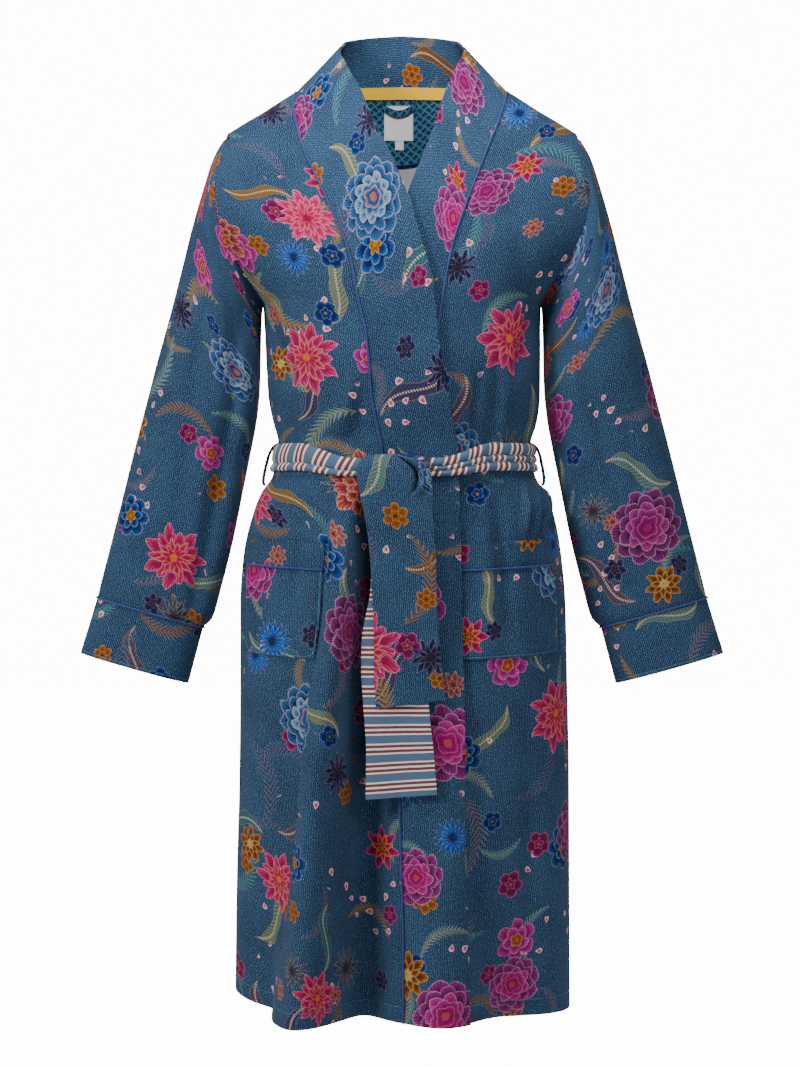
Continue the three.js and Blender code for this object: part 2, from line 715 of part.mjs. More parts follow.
// A point of the band: share 0 at its seam, 1 at its free edge
function bandPoint(side, place, share) {
  const lift = lifts[side]
  const seam = bandSeamPoint(side, place, lift)
  const edgeX = bandEdge[side === RIGHT ? 'right' : 'left'](place.station)
  const rise = bandEdge.rise(place.station)
  const cling = bandEdge.cling(place.station)
  const edge = new THREE.Vector3(edgeX, bandEdge.y(place.station), seam.z + rise)
  const standing = seam.clone().lerp(edge, share)
  if (cling === 0) return standing
  const seamAt = seamX[side](place.z)
  const x = mix(seamAt, edgeX, share)
  const z = place.z + rise * share
  return standing.lerp(formPoint(turnAt(x, z), z, lift), cling)
}

const STATION_STEP = 0.02
const SHARE_STEP = 0.02

function stationNear(place, change) {
  const station = place.station + change
  if (place.station >= 0) return { station, z: place.z }
  return { station, z: Math.min(NECK_POINT_Z, place.z + change * STATION_HEIGHT) }
}

function bandSpot(side, place, share) {
  const surface = (change, s) => bandPoint(side, stationNear(place, change), s)
  const normal = surfaceNormal(surface, 0, share, STATION_STEP, SHARE_STEP)
  return { point: bandPoint(side, place, share), normal: side === RIGHT ? normal.negate() : normal }
}

function bandGrid(side) {
  return bandStations.map((place, i) =>
    BAND_COLUMNS.map((share, j) => {
      const spot = bandSpot(side, place, share)
      const isLast = i === bandStations.length - 1
      if (isLast) spot.normal.setX(0).normalize()
      const acrossSeam = j === 0 && place.station < 0 ? -side * SEAM : 0
      const aboveSeam = j === 0 && place.station >= 0 ? SEAM : 0
      return shifted(spot, acrossSeam + (isLast ? side * HALF_SEAM : 0), 0, aboveSeam)
    }),
  )
}

const bands = { [RIGHT]: bandGrid(RIGHT), [LEFT]: bandGrid(LEFT) }

const PIPING_TOP_STATION = -0.02

function bandPiping(side) {
  const spots = bandStations
    .filter((place) => place.station <= PIPING_TOP_STATION)
    .map((place) => moved(bandSpot(side, place, 0), PIPING_HEIGHT))
  return cord(spots, PIPING_RADIUS, PIPING_SIDES)
}

// Sleeves and cuffs

const SLEEVE_COLUMNS = ['ox', 'oz', 'ix', 'iz', 'front', 'back', 'bow']
const sleeveRows = SLEEVE.map((row, ring) => ({ ...row, ring }))
const sleeveCurve = Object.fromEntries(
  SLEEVE_COLUMNS.map((column) => [column, profile(sleeveRows, 'ring', column)]),
)
const WRIST_RING = SLEEVE.length - 1

function sleeveCentre(side, ring) {
  const { ox, oz, ix, iz } = sleeveCurve
  return new THREE.Vector3((side * (ox(ring) + ix(ring))) / 2, 0, (oz(ring) + iz(ring)) / 2)
}

function sleevePoint(side, ring, around) {
  const { ox, oz, ix, iz, front, back, bow } = sleeveCurve
  const { armhole, wrist, blend } = SLEEVE_SQUARENESS
  const power = mix(armhole, wrist, smoothstep(0, blend, ring))
  const [cosine, sine] = [Math.cos(around), Math.sin(around)]
  const reach = (Math.abs(cosine) ** power + Math.abs(sine) ** power) ** (1 / power)
  const up = cosine / reach
  const forward = sine / reach
  const depth = forward > 0 ? front(ring) : back(ring)
  const gap = ARMHOLE_GAP * (1 - smoothstep(0, 1, ring))
  const bowed = bow(ring) * Math.abs(sine) ** BOW_SHARPNESS
  const x = mix(ix(ring), ox(ring), (1 + up) / 2) + bowed + gap
  const z = mix(iz(ring), oz(ring), (1 + up) / 2)
  return new THREE.Vector3(side * x, -depth * forward, z)
}

const RING_STEP = 0.05
const AROUND_STEP = degrees(1)

function sleeveSpot(side, ring, around) {
  const point = sleevePoint(side, ring, around)
  if (ring === 0) return { point, normal: new THREE.Vector3(0, -Math.sin(around), Math.cos(around)) }
  const surface = (r, a) => sleevePoint(side, r, a)
  const normal = surfaceNormal(surface, ring, around, RING_STEP, AROUND_STEP)
  const outward = point.clone().sub(sleeveCentre(side, ring))
  return { point, normal: normal.dot(outward) < 0 ? normal.negate() : normal }
}

const sleeve = (side) => SLEEVE.map((_, ring) => sleeveAngles.map((around) => sleeveSpot(side, ring, around)))

function cuff(side) {
  const centre = sleeveCentre(side, WRIST_RING)
  const run = new THREE.Vector3(side * CUFF.drop.x, 0, CUFF.drop.z)
  const gap = run.clone().normalize().multiplyScalar(SEAM)
  return CUFF.rings.map((share) =>
    sleeveAngles.map((around) => {
      const start = sleevePoint(side, WRIST_RING, around)
      const radial = start.clone().sub(centre).multiplyScalar(mix(1, CUFF.spread, share))
      const point = centre.clone().add(radial).add(gap).addScaledVector(run, share)
      const ahead = sleevePoint(side, WRIST_RING, around + AROUND_STEP)
      const behind = sleevePoint(side, WRIST_RING, around - AROUND_STEP)
      const normal = ahead.sub(behind).cross(run).normalize()
      return { point, normal: normal.dot(radial) < 0 ? normal.negate() : normal }
    }),
  )
}

function cuffPiping(side) {
  const seam = cuff(side)[0].map((spot) => moved(shifted(spot, 0, 0, HALF_SEAM), PIPING_HEIGHT + HALF_SEAM))
  return cord(seam, PIPING_RADIUS, PIPING_SIDES, true)
}

// Pockets, made from the panel's own points

const rowOf = (z) => frontRows.indexOf(z)
const POCKET_COLUMNS = { [RIGHT]: [3, 10], [LEFT]: [2, 13] }

function pocketRows(side, top, bottom) {
  const [first, last] = POCKET_COLUMNS[side]
  return panels[side].slice(rowOf(top), rowOf(bottom) + 1).map((row) => row.slice(first, last + 1))
}

// The pocket mouth stands open a little, most at the middle of its top edge
function pocketBand(side) {
  const rows = pocketRows(side, POCKET.top, POCKET.piping)
  const last = rows.length - 1
  const grid = rows.map((row, i) =>
    row.map((spot, j) => {
      const open = POCKET.gape * Math.sin((Math.PI * j) / (row.length - 1)) * (1 - i / last)
      return shifted(moved(spot, SEAM + POCKET_CLOTH + open), 0, 0, i === last ? HALF_SEAM : 0)
    }),
  )
  return wall(grid, POCKET_CLOTH)
}

function pocketBody(side) {
  const grid = pocketRows(side, POCKET.piping, POCKET.bottom).map((row, i) =>
    row.map((spot) => shifted(moved(spot, SEAM + POCKET_CLOTH), 0, 0, i === 0 ? -HALF_SEAM : 0)),
  )
  return wall(grid, POCKET_CLOTH)
}

function pocketPiping(side) {
  const [row] = pocketRows(side, POCKET.piping, POCKET.piping)
  const spots = row.map((spot) => moved(spot, SEAM + POCKET_CLOTH + PIPING_HEIGHT))
  return cord(spots, PIPING_RADIUS, PIPING_SIDES)
}

// Back neck: facing, tape, label, size tab and hanger loop

const FACING_DEPTH = CLOTH + FACING_GAP
const LABEL_DEPTH = FACING_DEPTH + FACING.thickness + FACING_GAP
const HANGER_DEPTH = LABEL_DEPTH + LABEL.thickness + 2 * FACING_GAP
const HANGER_END_DEPTH = FACING_DEPTH + FACING.thickness + SEAM
const insideBack = (depth) => () => -depth

function neckFacing() {
  const columns = counted(2 * FACING.halfColumns + 1).map((j) => j - FACING.halfColumns)
  const top = NECK_POINT_Z + FACING.top
  const grid = counted(FACING.rows).map((k) =>
    columns.map((column) => {
      const x = column * FACING.pitch
      const drop = FACING.depth * Math.sqrt(1 - (x / FACING.halfWidth) ** 2)
      const z = top - (drop * k) / (FACING.rows - 1)
      return formSpot(turnAt(x, z, 'back'), z, insideBack(FACING_DEPTH))
    }),
  )
  return wall(grid, FACING.thickness)
}

function neckTape() {
  const places = bandStations.filter((place) => place.station >= TAPE.firstColumn / BACK_HALF_COLUMNS)
  const shares = BAND_COLUMNS.slice(0, 2)
  const strip = (side) => places.map((place) => shares.map((share) => bandSpot(side, place, share)))
  const rows = [...strip(RIGHT), ...strip(LEFT).reverse().slice(1)]
  const depth = DOUBLE_CLOTH + FACING_GAP
  const grid = rows.map((row) => row.map((spot, j) => shifted(moved(spot, -depth), 0, 0, j === 0 ? SEAM : 0)))
  return wall(grid, TAPE.thickness)
}

function backPatch({ x, width, top, bottom }, depth, thickness) {
  const grid = [top, (top + bottom) / 2, bottom].map((z) =>
    [-0.5, 0, 0.5].map((share) => formSpot(turnAt(x + width * share, z, 'back'), z, insideBack(depth))),
  )
  return wall(grid, thickness)
}

// The loop's ends are sewn to the facing, and it hangs clear of the label between them
function hangerLoop() {
  const grid = counted(HANGER.steps + 1).map((k) => {
    const share = k / HANGER.steps
    const x = HANGER.x + mix(-HANGER.halfWidth, HANGER.halfWidth, share)
    const top = HANGER.top - HANGER.sag * Math.sin(Math.PI * share) ** HANGER.bow
    const isEnd = k === 0 || k === HANGER.steps
    const lift = insideBack(isEnd ? HANGER_END_DEPTH : HANGER_DEPTH)
    return [top, top - HANGER.height].map((z) => formSpot(turnAt(x, z, 'back'), z, lift))
  })
  return wall(grid, HANGER.thickness)
}

// Belt

// How far the belt's inner face stands off the form: over the right front and its band, then down
function beltLift(x) {
  const onTop = smoothstep(LAP_X.starts, LAP_X.full, x)
  return BELT.gap + LAP * onTop * (1 - smoothstep(BELT_STEP_DOWN.starts, BELT_STEP_DOWN.ends, x))
}

function beltRing(turn) {
  const face = Math.cos(turn) >= 0 ? 'front' : 'back'
  const { x } = formPoint(turn, BELT.sideZ)
  const fromKnot = Math.abs(x - BELT_PINCH.x)
  const nearKnot = face === 'front' ? smoothstep(BELT_PINCH.starts, BELT_PINCH.full, fromKnot) : 0
  const z = mix(BELT.sideZ, BELT.knotZ, nearKnot)
  const height = BELT.halfHeight * mix(1, BELT.knotPinch, nearKnot)
  return BELT_SECTION.map(({ up, out }) => {
    const lift = face === 'front' ? beltLift(x) : BELT.gap
    return formPoint(turn, z + up * height, () => lift + out * BELT.thickness)
  })
}

function beltStretch(from, to, steps) {
  return loft(counted(steps + 1).map((k) => beltRing(mix(from, to, k / steps))))
}

const BELT_SPLIT = degrees(0.1)
const SIDE_TURN = Math.PI / 2
const BELT_STRETCHES = [
  ['belt_waist_right', -SIDE_TURN, turnAt(KNOT.right - SEAM, BELT.sideZ), BELT_STEPS.side],
  ['belt_waist_left', turnAt(KNOT.left + SEAM, BELT.sideZ), SIDE_TURN, BELT_STEPS.side],
  ['belt_waist_back', SIDE_TURN, 3 * SIDE_TURN, BELT_STEPS.back],
]

// The knot's back face follows the form, and each section is a rounded lump
function beltKnot() {
  const rings = KNOT_SECTIONS.map(({ x, top, bottom, front }) => {
    return KNOT_PROFILE.map(({ up, out, proud }) => {
      const z = mix(bottom, top, (1 + up) / 2)
      const seat = formPoint(turnAt(x, z), z, () => KNOT.seat).y
      return new THREE.Vector3(x, mix(seat, front, out) - proud, z)
    })
  })
  return loft(rings)
}

function beltTail(rows) {
  const grid = rows.map(({ z, right, left, y, slope = 0 }) =>
    counted(TAIL_COLUMNS).map((j) => {
      const share = j / (TAIL_COLUMNS - 1)
      const point = new THREE.Vector3(mix(right, left, share), y - TAIL_THICKNESS, z + slope * (2 * share - 1))
      return { point, normal: new THREE.Vector3(0, -1, 0) }
    }),
  )
  return wall(grid, TAIL_THICKNESS)
}

function beltLoop(side) {
  const rings = counted(BELT_LOOP.steps + 1).map((k) => {
    const share = k / BELT_LOOP.steps
    const z = mix(BELT_LOOP.top, BELT_LOOP.bottom, share)
    const off = BELT_LOOP.seat + BELT_LOOP.stand * Math.sin(Math.PI * share) ** BELT_LOOP.bow
    const x = sideWidth[side](z) + off
    const [thick, wide] = [BELT_LOOP.thickness / 2, BELT_LOOP.width / 2]
    const height = formPoint((side * Math.PI) / 2, z).z
    return [[-thick, -wide], [thick, -wide], [thick, wide], [-thick, wide]].map(
      ([dx, dy]) => new THREE.Vector3(side * (x + dx), dy, height),
    )
  })
  return loft(rings)
}

// The robe

const robe = new THREE.Group()

function add(name, colour, geometry) {
  const material = new THREE.MeshStandardMaterial({ color: colour, roughness: CLOTH_ROUGHNESS, metalness: 0 })
  const mesh = new THREE.Mesh(geometry, material)
  mesh.name = name
  robe.add(mesh)
}

for (const [side, word] of [[RIGHT, 'right'], [LEFT, 'left']]) {
  add(`body_front_${word}`, COLOURS.print, wall(panels[side], CLOTH))
  add(`neck_band_${word}`, COLOURS.print, wall(bands[side], DOUBLE_CLOTH))
  add(`band_piping_${word}`, COLOURS.piping, bandPiping(side))
  add(`sleeve_${word}`, COLOURS.print, wall(sleeve(side), CLOTH, true))
  add(`cuff_${word}`, COLOURS.print, wall(cuff(side), DOUBLE_CLOTH, true))
  add(`cuff_piping_${word}`, COLOURS.piping, cuffPiping(side))
  add(`pocket_${word}`, COLOURS.print, pocketBody(side))
  add(`pocket_band_${word}`, COLOURS.print, pocketBand(side))
  add(`pocket_piping_${word}`, COLOURS.piping, pocketPiping(side))
  add(`belt_loop_${word}`, COLOURS.print, beltLoop(side))
}
add('body_back', COLOURS.print, wall(backPanel(), CLOTH))
add('neck_facing', COLOURS.facing, neckFacing())
add('neck_tape', COLOURS.tape, neckTape())
add('label', COLOURS.label, backPatch(LABEL, LABEL_DEPTH, LABEL.thickness))
add('size_tab', COLOURS.label, backPatch(SIZE_TAB, LABEL_DEPTH, LABEL.thickness))
add('hanger_loop', COLOURS.facing, hangerLoop())
for (const [name, from, to, steps] of BELT_STRETCHES) {
  add(name, COLOURS.stripe, beltStretch(from + BELT_SPLIT, to - BELT_SPLIT, steps))
}
add('belt_knot', COLOURS.print, beltKnot())
add('belt_tail_front', COLOURS.print, beltTail(FRONT_TAIL))
add('belt_tail_back', COLOURS.stripe, beltTail(BACK_TAIL))

export default robe
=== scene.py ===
"""A wrap robe of printed jersey, filled out as if worn. Lengths are in millimetres in the robe's own
frame: +Z up, the front faces -Y, and right is the wearer's right, at -X. The origin lies between the
two neck points. Every piece is placed from the form, and only the mesh builders turn it into metres."""
import bisect
import math

import bpy
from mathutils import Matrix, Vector


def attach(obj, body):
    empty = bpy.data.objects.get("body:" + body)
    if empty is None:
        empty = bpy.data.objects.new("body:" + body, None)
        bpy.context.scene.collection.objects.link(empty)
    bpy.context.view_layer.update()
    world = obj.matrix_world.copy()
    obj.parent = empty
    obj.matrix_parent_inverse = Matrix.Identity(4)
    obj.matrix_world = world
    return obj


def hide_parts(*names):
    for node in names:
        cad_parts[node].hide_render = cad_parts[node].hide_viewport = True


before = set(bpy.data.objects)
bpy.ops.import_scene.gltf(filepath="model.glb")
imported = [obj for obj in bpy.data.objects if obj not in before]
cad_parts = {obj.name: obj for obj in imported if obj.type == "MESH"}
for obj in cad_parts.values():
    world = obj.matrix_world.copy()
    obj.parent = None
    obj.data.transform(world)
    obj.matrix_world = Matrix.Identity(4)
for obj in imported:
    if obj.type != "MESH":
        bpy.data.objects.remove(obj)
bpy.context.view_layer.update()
bpy.ops.object.select_all(action="DESELECT")

MM = 0.001
RIGHT = -1
LEFT = 1
WORD = {RIGHT: "right", LEFT: "left"}
QUARTER = math.pi / 2

# Cloth
CLOTH = 1.8
DOUBLE_CLOTH = 3
POCKET_CLOTH = 1.5
SEAM = 0.3
HALF_SEAM = SEAM / 2
PIPING_RADIUS = 1.15
PIPING_HEIGHT = SEAM + PIPING_RADIUS

# Body form
SQUARENESS = 2.4
SHOULDER_TIP_Z = -50
UNDERARM_Z = -245
NECK_POINT_Z = 0
HEM_Z = -1040
NAPE_RISE = 4
NAPE_BLEND = 60
LAP = 8
LAP_X = (-130, -80)
LAP_Z = (-20, -90)


def table(columns, rows):
    names = columns.split()
    return [dict(zip(names, row)) for row in rows]


# Sections of the body: depths to the front and the back, and half-widths up to the underarm
SECTIONS = table("z right left front back", [
    (-1060, 190, 191, 118, 118),
    (-900, 188, 190.5, 118, 116),
    (-780, 185, 190, 116, 114),
    (-680, 184, 188, 114, 112),
    (-590, 184, 186, 110, 110),
    (-535, 180, 181, 106, 106),
    (-490, 170, 173, 101, 100),
    (-460, 160, 163, 98, 95),
    (-440, 148, 152, 95, 90),
    (-420, 143, 148, 94, 88),
    (-400, 141, 147, 95, 88),
    (-380, 146, 153, 100, 91),
    (-350, 152, 157, 106, 94),
    (-300, 155, 157.5, 110, 96),
    (-245, 158.4, 158.4, 110, 98),
    (-200, None, None, 106, 99),
    (-150, None, None, 98, 97),
    (-100, None, None, 84, 92),
    (-50, None, None, 64, 82),
    (-25, None, None, 54, 76),
    (0, None, None, 44, 68),
    (12, None, None, 39, 64),
])

SHOULDER = table("z x", [
    (-50, 199),
    (-38, 180),
    (-25, 158),
    (-12, 138),
    (0, 119),
    (12, 100),
])

POCKET_SLOPE = table("z rise", [
    (-800, 0),
    (-650, 9),
    (-520, 9),
    (-440, 0),
])

RIGHT_HEM_RISE = table("z rise", [
    (-1040, 21),
    (-800, 0),
])

BACK_FOLDS = table("x hem top", [
    (-138, -12, -620),
    (-88, 15, -560),
    (-36, -14, -600),
    (18, 11, -680),
    (72, -15, -540),
    (124, 12, -620),
])

BAND_EDGE = table("station right left y rise cling", [
    (-10.6, 73, -72, 0, 0, 1),
    (-7.94, 69, -64, 0, 0, 1),
    (-5.48, 64.6, -59, 0, 0, 1),
    (-4.2, 60.5, -54, 0, 0, 1),
    (-4.04, 59, -52, 0, 3, 1),
    (-3.6, 48, -44, 0, 15, 1),
    (-3.2, 39.5, -36, 0, 30, 1),
    (-2.8, 34.5, -27, 0, 44, 1),
    (-2.45, 25, -14, 0, 50, 1),
    (-2.16, 14, -3, 0, 58, 1),
    (-1.85, 1, 10, -90, 69, 1),
    (-1.475, -15, 25, -75, 69.5, 0.9),
    (-1.1, -33, 38.5, -57, 71, 0.6),
    (-0.786, -45, 48, -41, 71, 0.3),
    (-0.5, -57, 57, -29, 65, 0.1),
    (-0.32, -63, 63, -21, 60, 0),
    (0, -71, 71, -5, 50, 0),
    (0.33, -66, 66, 25, 60, 0),
    (0.67, -42, 42, 50, 67, 0),
    (1, 0, 0, 62, 71, 0),
])

SLEEVE = table("ox oz ix iz front back bow", [
    (199, -50, 158.4, -245, 60, 68, 28),
    (214, -75, 159.6, -254, 63, 69, 25),
    (226, -112, 160.3, -268, 65, 69, 20),
    (239, -158, 160.8, -290, 65, 68, 13),
    (252, -210, 161.2, -314, 63, 65, 7),
    (265, -260, 162, -340, 60, 62, 2),
    (279, -310, 165, -372, 57, 58, 0),
    (292, -360, 172, -410, 53, 54, 0),
    (305, -410, 181, -455, 49, 50, 0),
    (320, -470, 192, -510, 44, 45, 0),
    (334, -525, 205, -562, 39, 40, 0),
    (345, -568, 216.5, -601, 35, 36, 0),
    (347, -576.5, 226.5, -610.5, 32, 33, 0),
])

BACK_TAIL = table("z right left y", [
    (-462, -34, 26, -125.4),
    (-520, -33, 27, -125.5),
    (-568, -34.9, 27, -125.8),
    (-594, -39.8, 27, -126),
    (-620, -44.1, 27, -126.3),
    (-647, -44.7, 27.5, -126.6),
    (-690, -42.5, 29, -126.9),
    (-741, -39.2, 34, -127.6),
    (-791, -39.8, 38.1, -128.4),
])

FRONT_FOLDS = {
    "side_dip": table("z x push", [
        (-1040, -160, -18), (-850, -152, -6), (-760, -150, 0), (-520, -130, 0), (-320, -115, 0),
    ]),
    "foot": table("z x push", [
        (-1040, -146, -2), (-850, -118, 0), (-700, -101, 0), (-600, -86, 0), (-500, -80, 0), (-440, -74, 0),
        (-389, -82, 0), (-320, -74, 0),
    ]),
    "shoulder": table("z x push", [
        (-1040, -124, 28), (-850, -107, 24), (-700, -94, 24), (-600, -79.5, 23), (-560, -76, 20),
        (-500, -73.4, 12), (-463, -67, 4), (-440, -66, 0), (-404, -72, 0), (-385, -72, 4), (-354, -63, 3),
        (-320, -60, 0),
    ]),
    "crest": table("z x push", [
        (-1040, -104, 42), (-850, -92, 36), (-700, -76, 33), (-600, -66, 30), (-560, -61, 26),
        (-500, -58, 16), (-463, -57, 6), (-440, -58, 0), (-404, -65, 0), (-385, -64, 6), (-354, -56, 5),
        (-320, -52, 0),
    ]),
    "valley": table("z x push", [
        (-1040, -46, -44), (-850, -40, -30), (-700, -35, -25), (-600, -30, -22), (-560, -29.5, -19),
        (-500, -28, -10), (-463, -27, -3), (-440, -27, 0), (-404, -42, 0), (-385, -45, -3), (-354, -40, -3),
        (-320, -38, 0),
    ]),
    "seam_ease": table("z x push", [
        (-1040, -4, -10), (-850, -2, -6), (-560, -2, -3), (-463, -2, 0), (-320, -2, 0),
    ]),
    "band_crest": table("z x push", [
        (-1040, 42, 18), (-940, 44, 9), (-850, 45, 3), (-770, 46, 0), (-320, 46, 0),
    ]),
    "left_dip": table("z x push", [
        (-1040, 118, -19), (-850, 116, -9), (-700, 112, -2), (-640, 112, 0), (-440, 100, 0), (-385, 95, -4),
        (-340, 92, 0),
    ]),
}

BAND_SEAM = {
    RIGHT: table("z x", [
        (-1060, 2), (-973, 2), (-856, -1), (-791, -3), (-650, -10), (-500, -18), (-420, -21), (-387, -26.6),
        (-354, -33), (-314, -36), (-286, -38.5), (-250, -46.5), (-201, -56), (-132, -84), (-74, -110),
        (-45, -118.5), (-19, -122), (0, -119),
    ]),
    LEFT: table("z x", [
        (-1060, 0), (-700, 8), (-420, 20), (-350, 29), (-286, 38), (-240, 45), (-192, 54), (-140, 70.5),
        (-110, 82), (-73, 96), (-45, 107), (-19, 115), (0, 119),
    ]),
}

# Soft creases of the body: from one end to the other, each bowed by its sag
CREASES = table("face x1 z1 x2 z2 sag width push", [
    ("front", 88, -318, 78, -424, 3, 5, -6),
    ("front", 104, -310, 99, -424, -2, 6, -5),
    ("front", 128, -280, 114, -410, 4, 8, 4),
    ("front", -96, -310, -84, -424, 3, 7, -5),
    ("front", -118, -290, -104, -424, -2, 7, 4),
    ("front", -150, -230, -112, -345, 8, 9, -6),
    ("front", 150, -235, 112, -345, -8, 9, -6),
    ("front", -100, -90, -140, -250, 10, 12, -4),
    ("front", 100, -90, 138, -250, -10, 12, -4),
    ("front", 60, -450, 68, -700, 2, 9, -5),
    ("front", 88, -450, 96, -680, -3, 9, 3.5),
    ("front", 106, -450, 122, -640, 3, 8, -5),
    ("front", -106, -446, -122, -600, -3, 7, -5),
    ("front", -40, -452, -54, -880, 4, 9, -9),
    ("front", 80, -700, 86, -1050, 4, 13, -6),
    ("front", 140, -680, 150, -1050, -4, 12, -5),
    ("back", -120, -300, -90, -410, 6, 9, -4),
    ("back", 110, -310, 82, -412, -5, 9, -4),
    ("back", -40, -330, -30, -412, 2, 8, -3),
    ("back", 38, -340, 30, -412, -2, 8, -3),
    ("back", -60, -440, -72, -560, -3, 8, -4),
    ("back", 20, -440, 24, -580, 3, 9, -4),
    ("back", 92, -438, 110, -560, 3, 8, -4),
    ("back", -112, -438, -128, -540, -3, 8, -4),
])

# Creases of the sleeves: ring, and angle from the top of the arm towards the front
BOTH = 0
SLEEVE_CREASES = table("side start end angle end_angle width push", [
    (RIGHT, 2, 12, 116, 132, 7, -11),
    (RIGHT, 3, 12, 138, 146, 9, 3),
    (RIGHT, 4.5, 10.5, 76, 98, 8, -4.5),
    (RIGHT, 0.6, 5, 152, 118, 10, -7),
    (RIGHT, 1.5, 7, 92, 70, 10, -4),
    (LEFT, 0.6, 5, 152, 116, 10, -7),
    (LEFT, 3, 10, 112, 92, 7, -8),
    (LEFT, 6, 11.6, 64, 88, 9, -4.5),
    (BOTH, 6, 8.5, 170, 120, 8, -3),
    (BOTH, 1, 6, 215, 245, 11, -4),
    (BOTH, 5, 11, 262, 240, 10, -3.5),
    (BOTH, 2, 7, 30, 62, 13, 2),
])

# The wrap of the belt's knot and its front tail: edges, face, and how far the edges roll back and dip
WRAP = table("z right left y curl dip", [
    (-417, -36, 20, -117, 4, 1),
    (-419, -42, 24, -124, 7, 2),
    (-424, -47, 27, -130, 10, 3),
    (-432, -49.5, 30, -133, 11, 2),
    (-446, -49, 32.5, -134, 9, 0),
    (-462, -46, 33, -133, 5, 0),
    (-480, -42, 33.6, -131.8, 2, 0),
    (-500, -38.2, 34.8, -131.4, 1, 0),
    (-533, -34.8, 37, -131.6, 0.5, 0),
    (-568, -32.7, 37.5, -132, 0.5, 0),
    (-620, -30.5, 40.3, -132.4, 0.5, 0),
    (-655, -30.5, 43.4, -132.6, 0.5, 0),
    (-690, -28.3, 46.3, -132.8, 0.5, 0),
])

# The crease where a fold of the wrap loops over, and the roll of cloth beside it
LOOP_CREASE = table("z x", [
    (-470, 6), (-462, 10), (-454, 15), (-444, 17), (-434, 15.5), (-427, 8), (-421, -2), (-417, -14),
])
LOOP_ROLL = dict(rise=5.5, off=6, width=5)
LOOP_GROOVE = dict(dip=7, width=2.2)
LOOP_FOOT = (-466, -450)
LOOP_HEAD = (-418, -424)
EDGE_ROLL_SHARPNESS = 5

# How a tail ripples and slants, and between which heights each comes in
FRONT_RIPPLE = dict(depth=0.8, across=3.1, down=40, between=(-470, -520))
FRONT_SLANT = dict(rise=5, between=(-600, -690))
BACK_RIPPLE = dict(depth=1.2, across=2.4 * math.pi, start=0.6, between=(-520, -640))
BACK_SLANT = dict(rise=2.7, between=(-690, -791))
KNOT_HALF_COLUMNS = 24
TAIL_COLUMNS = 32

# Stitches: how far each line lies from its edge
HEM_STITCH = 18
BAND_STITCH = -4
CUFF_STITCH = 4
POCKET_STITCH = 2.2
LABEL_STITCH = 1.2

# Stripes of the belt's second cloth: where they start on each stretch, and how the pleats shift them
STRIPE_START = dict(belt_waist_right=0.006, belt_waist_left=0.002, belt_waist_back=0, belt_tail_back=0.0035)
STRIPE_SLANT = -3.5
STRIPE_STEP = 5
BELT_PULL = 0.72

# Where each piece was cut from the printed cloth, in metres
CUT_START = dict(
    body_front_right=(0.31, 0.02), body_front_left=(1.62, 0.35), body_back=(3.1, 0.1),
    neck_band_right=(5.03, 0.2), neck_band_left=(6.21, 0.64),
    sleeve_right=(7.4, 0.15), sleeve_left=(8.9, 0.5), cuff_right=(10.3, 0.12), cuff_left=(11.5, 0.41),
    pocket_right=(12.4, 0.2), pocket_left=(13.3, 0.5),
    pocket_band_right=(14.2, 0.3), pocket_band_left=(15.1, 0.6), belt_tail_front=(16.3, 0.17),
    belt_loop=(1.572, 0.83),
)

ARMHOLE = dict(x=178.7, z=-147.5, tilt=20.3, height=97.5, front=60, back=68, bow=28)
BOW_SHARPNESS = 3
HEM_RISE_SHARPNESS = 6
FOLD_DEPTH = 1.22
GATHER_DEPTH = 2.2
GATHERS = dict(start=132, pitch=12, count=3, push=4, top=-440, fullest=-478, foot=-517)
STATION_HEIGHT = 100
BAND_COLUMNS = [0, 0.17, 0.38, 0.6, 0.8, 1]
SLEEVE_SIDES = 16
SLEEVE_SQUARENESS = dict(armhole=2, wrist=2.3, blend=4)
ARMHOLE_GAP = 0.35
TUCK = {"under": 2.4, "in": 4}
SIDE_ALLOWANCE = dict(under=2.2, back=4)
CUFF_DROP = Vector((18, 0, -63))
CUFF_SPREAD = 1.02
SHOULDER_ROWS = [-2, -14, -32]
LOWER_ROWS = [
    -280, -320, -354, -385, -404, -420, -436, -450, -482, -517, -546, -595, -644, -700, -770, -850, -945,
    HEM_Z,
]
GUIDE_TOP_Z = -320
BACK_HALF_COLUMNS = 12
POCKET = dict(top=-517, piping=-546, bottom=-644, clear=2, gape=5)
POCKET_EDGES = dict(right_outer=-174, left_outer=171, left_inner=50, left_gathers=132, sized_at=-580)
FACING = dict(half_width=66, half_span=57.5, depth=74, top=-1, gap=0.75, thickness=1)
TAPE = dict(start=2 / 12, thickness=0.8, overhang=2.2)
LABEL = dict(x=-4, width=34, top=-9, bottom=-45)
SIZE_TAB = dict(x=-3, width=10, top=-45.4, bottom=-55)
LABEL_THICKNESS = 0.8
HANGER = dict(x=-4, half_width=20, top=-3, sag=11, bow=0.7, height=7, thickness=1.2, fixed=0.1)
BELT = dict(
    side_z=-418.5, knot_z=-431, half_height=15.5, thickness=5, fold=1.2, cloth=1.1, knot_pinch=0.66, gap=0.8,
)
BELT_ROUNDNESS = 0.55
BELT_JOIN = 0.002
KNOT_COVER = 6
BELT_STEP_DOWN = (67, 112)
BELT_PINCH = dict(x=-7, starts=110, full=45)
KNOT_EDGE = {RIGHT: -49.6, LEFT: 35.6}
TAIL_THICKNESS = 2.6
STRAP_HALF = dict(x=1.9, y=3)
STRAP_CLOTH = 0.6
STRAP = table("z off", [
    (-401, 0.5), (-404, 4.5), (-410, 8), (-418, 10), (-429, 10.8), (-438, 10.2), (-446, 7), (-451, 2),
])

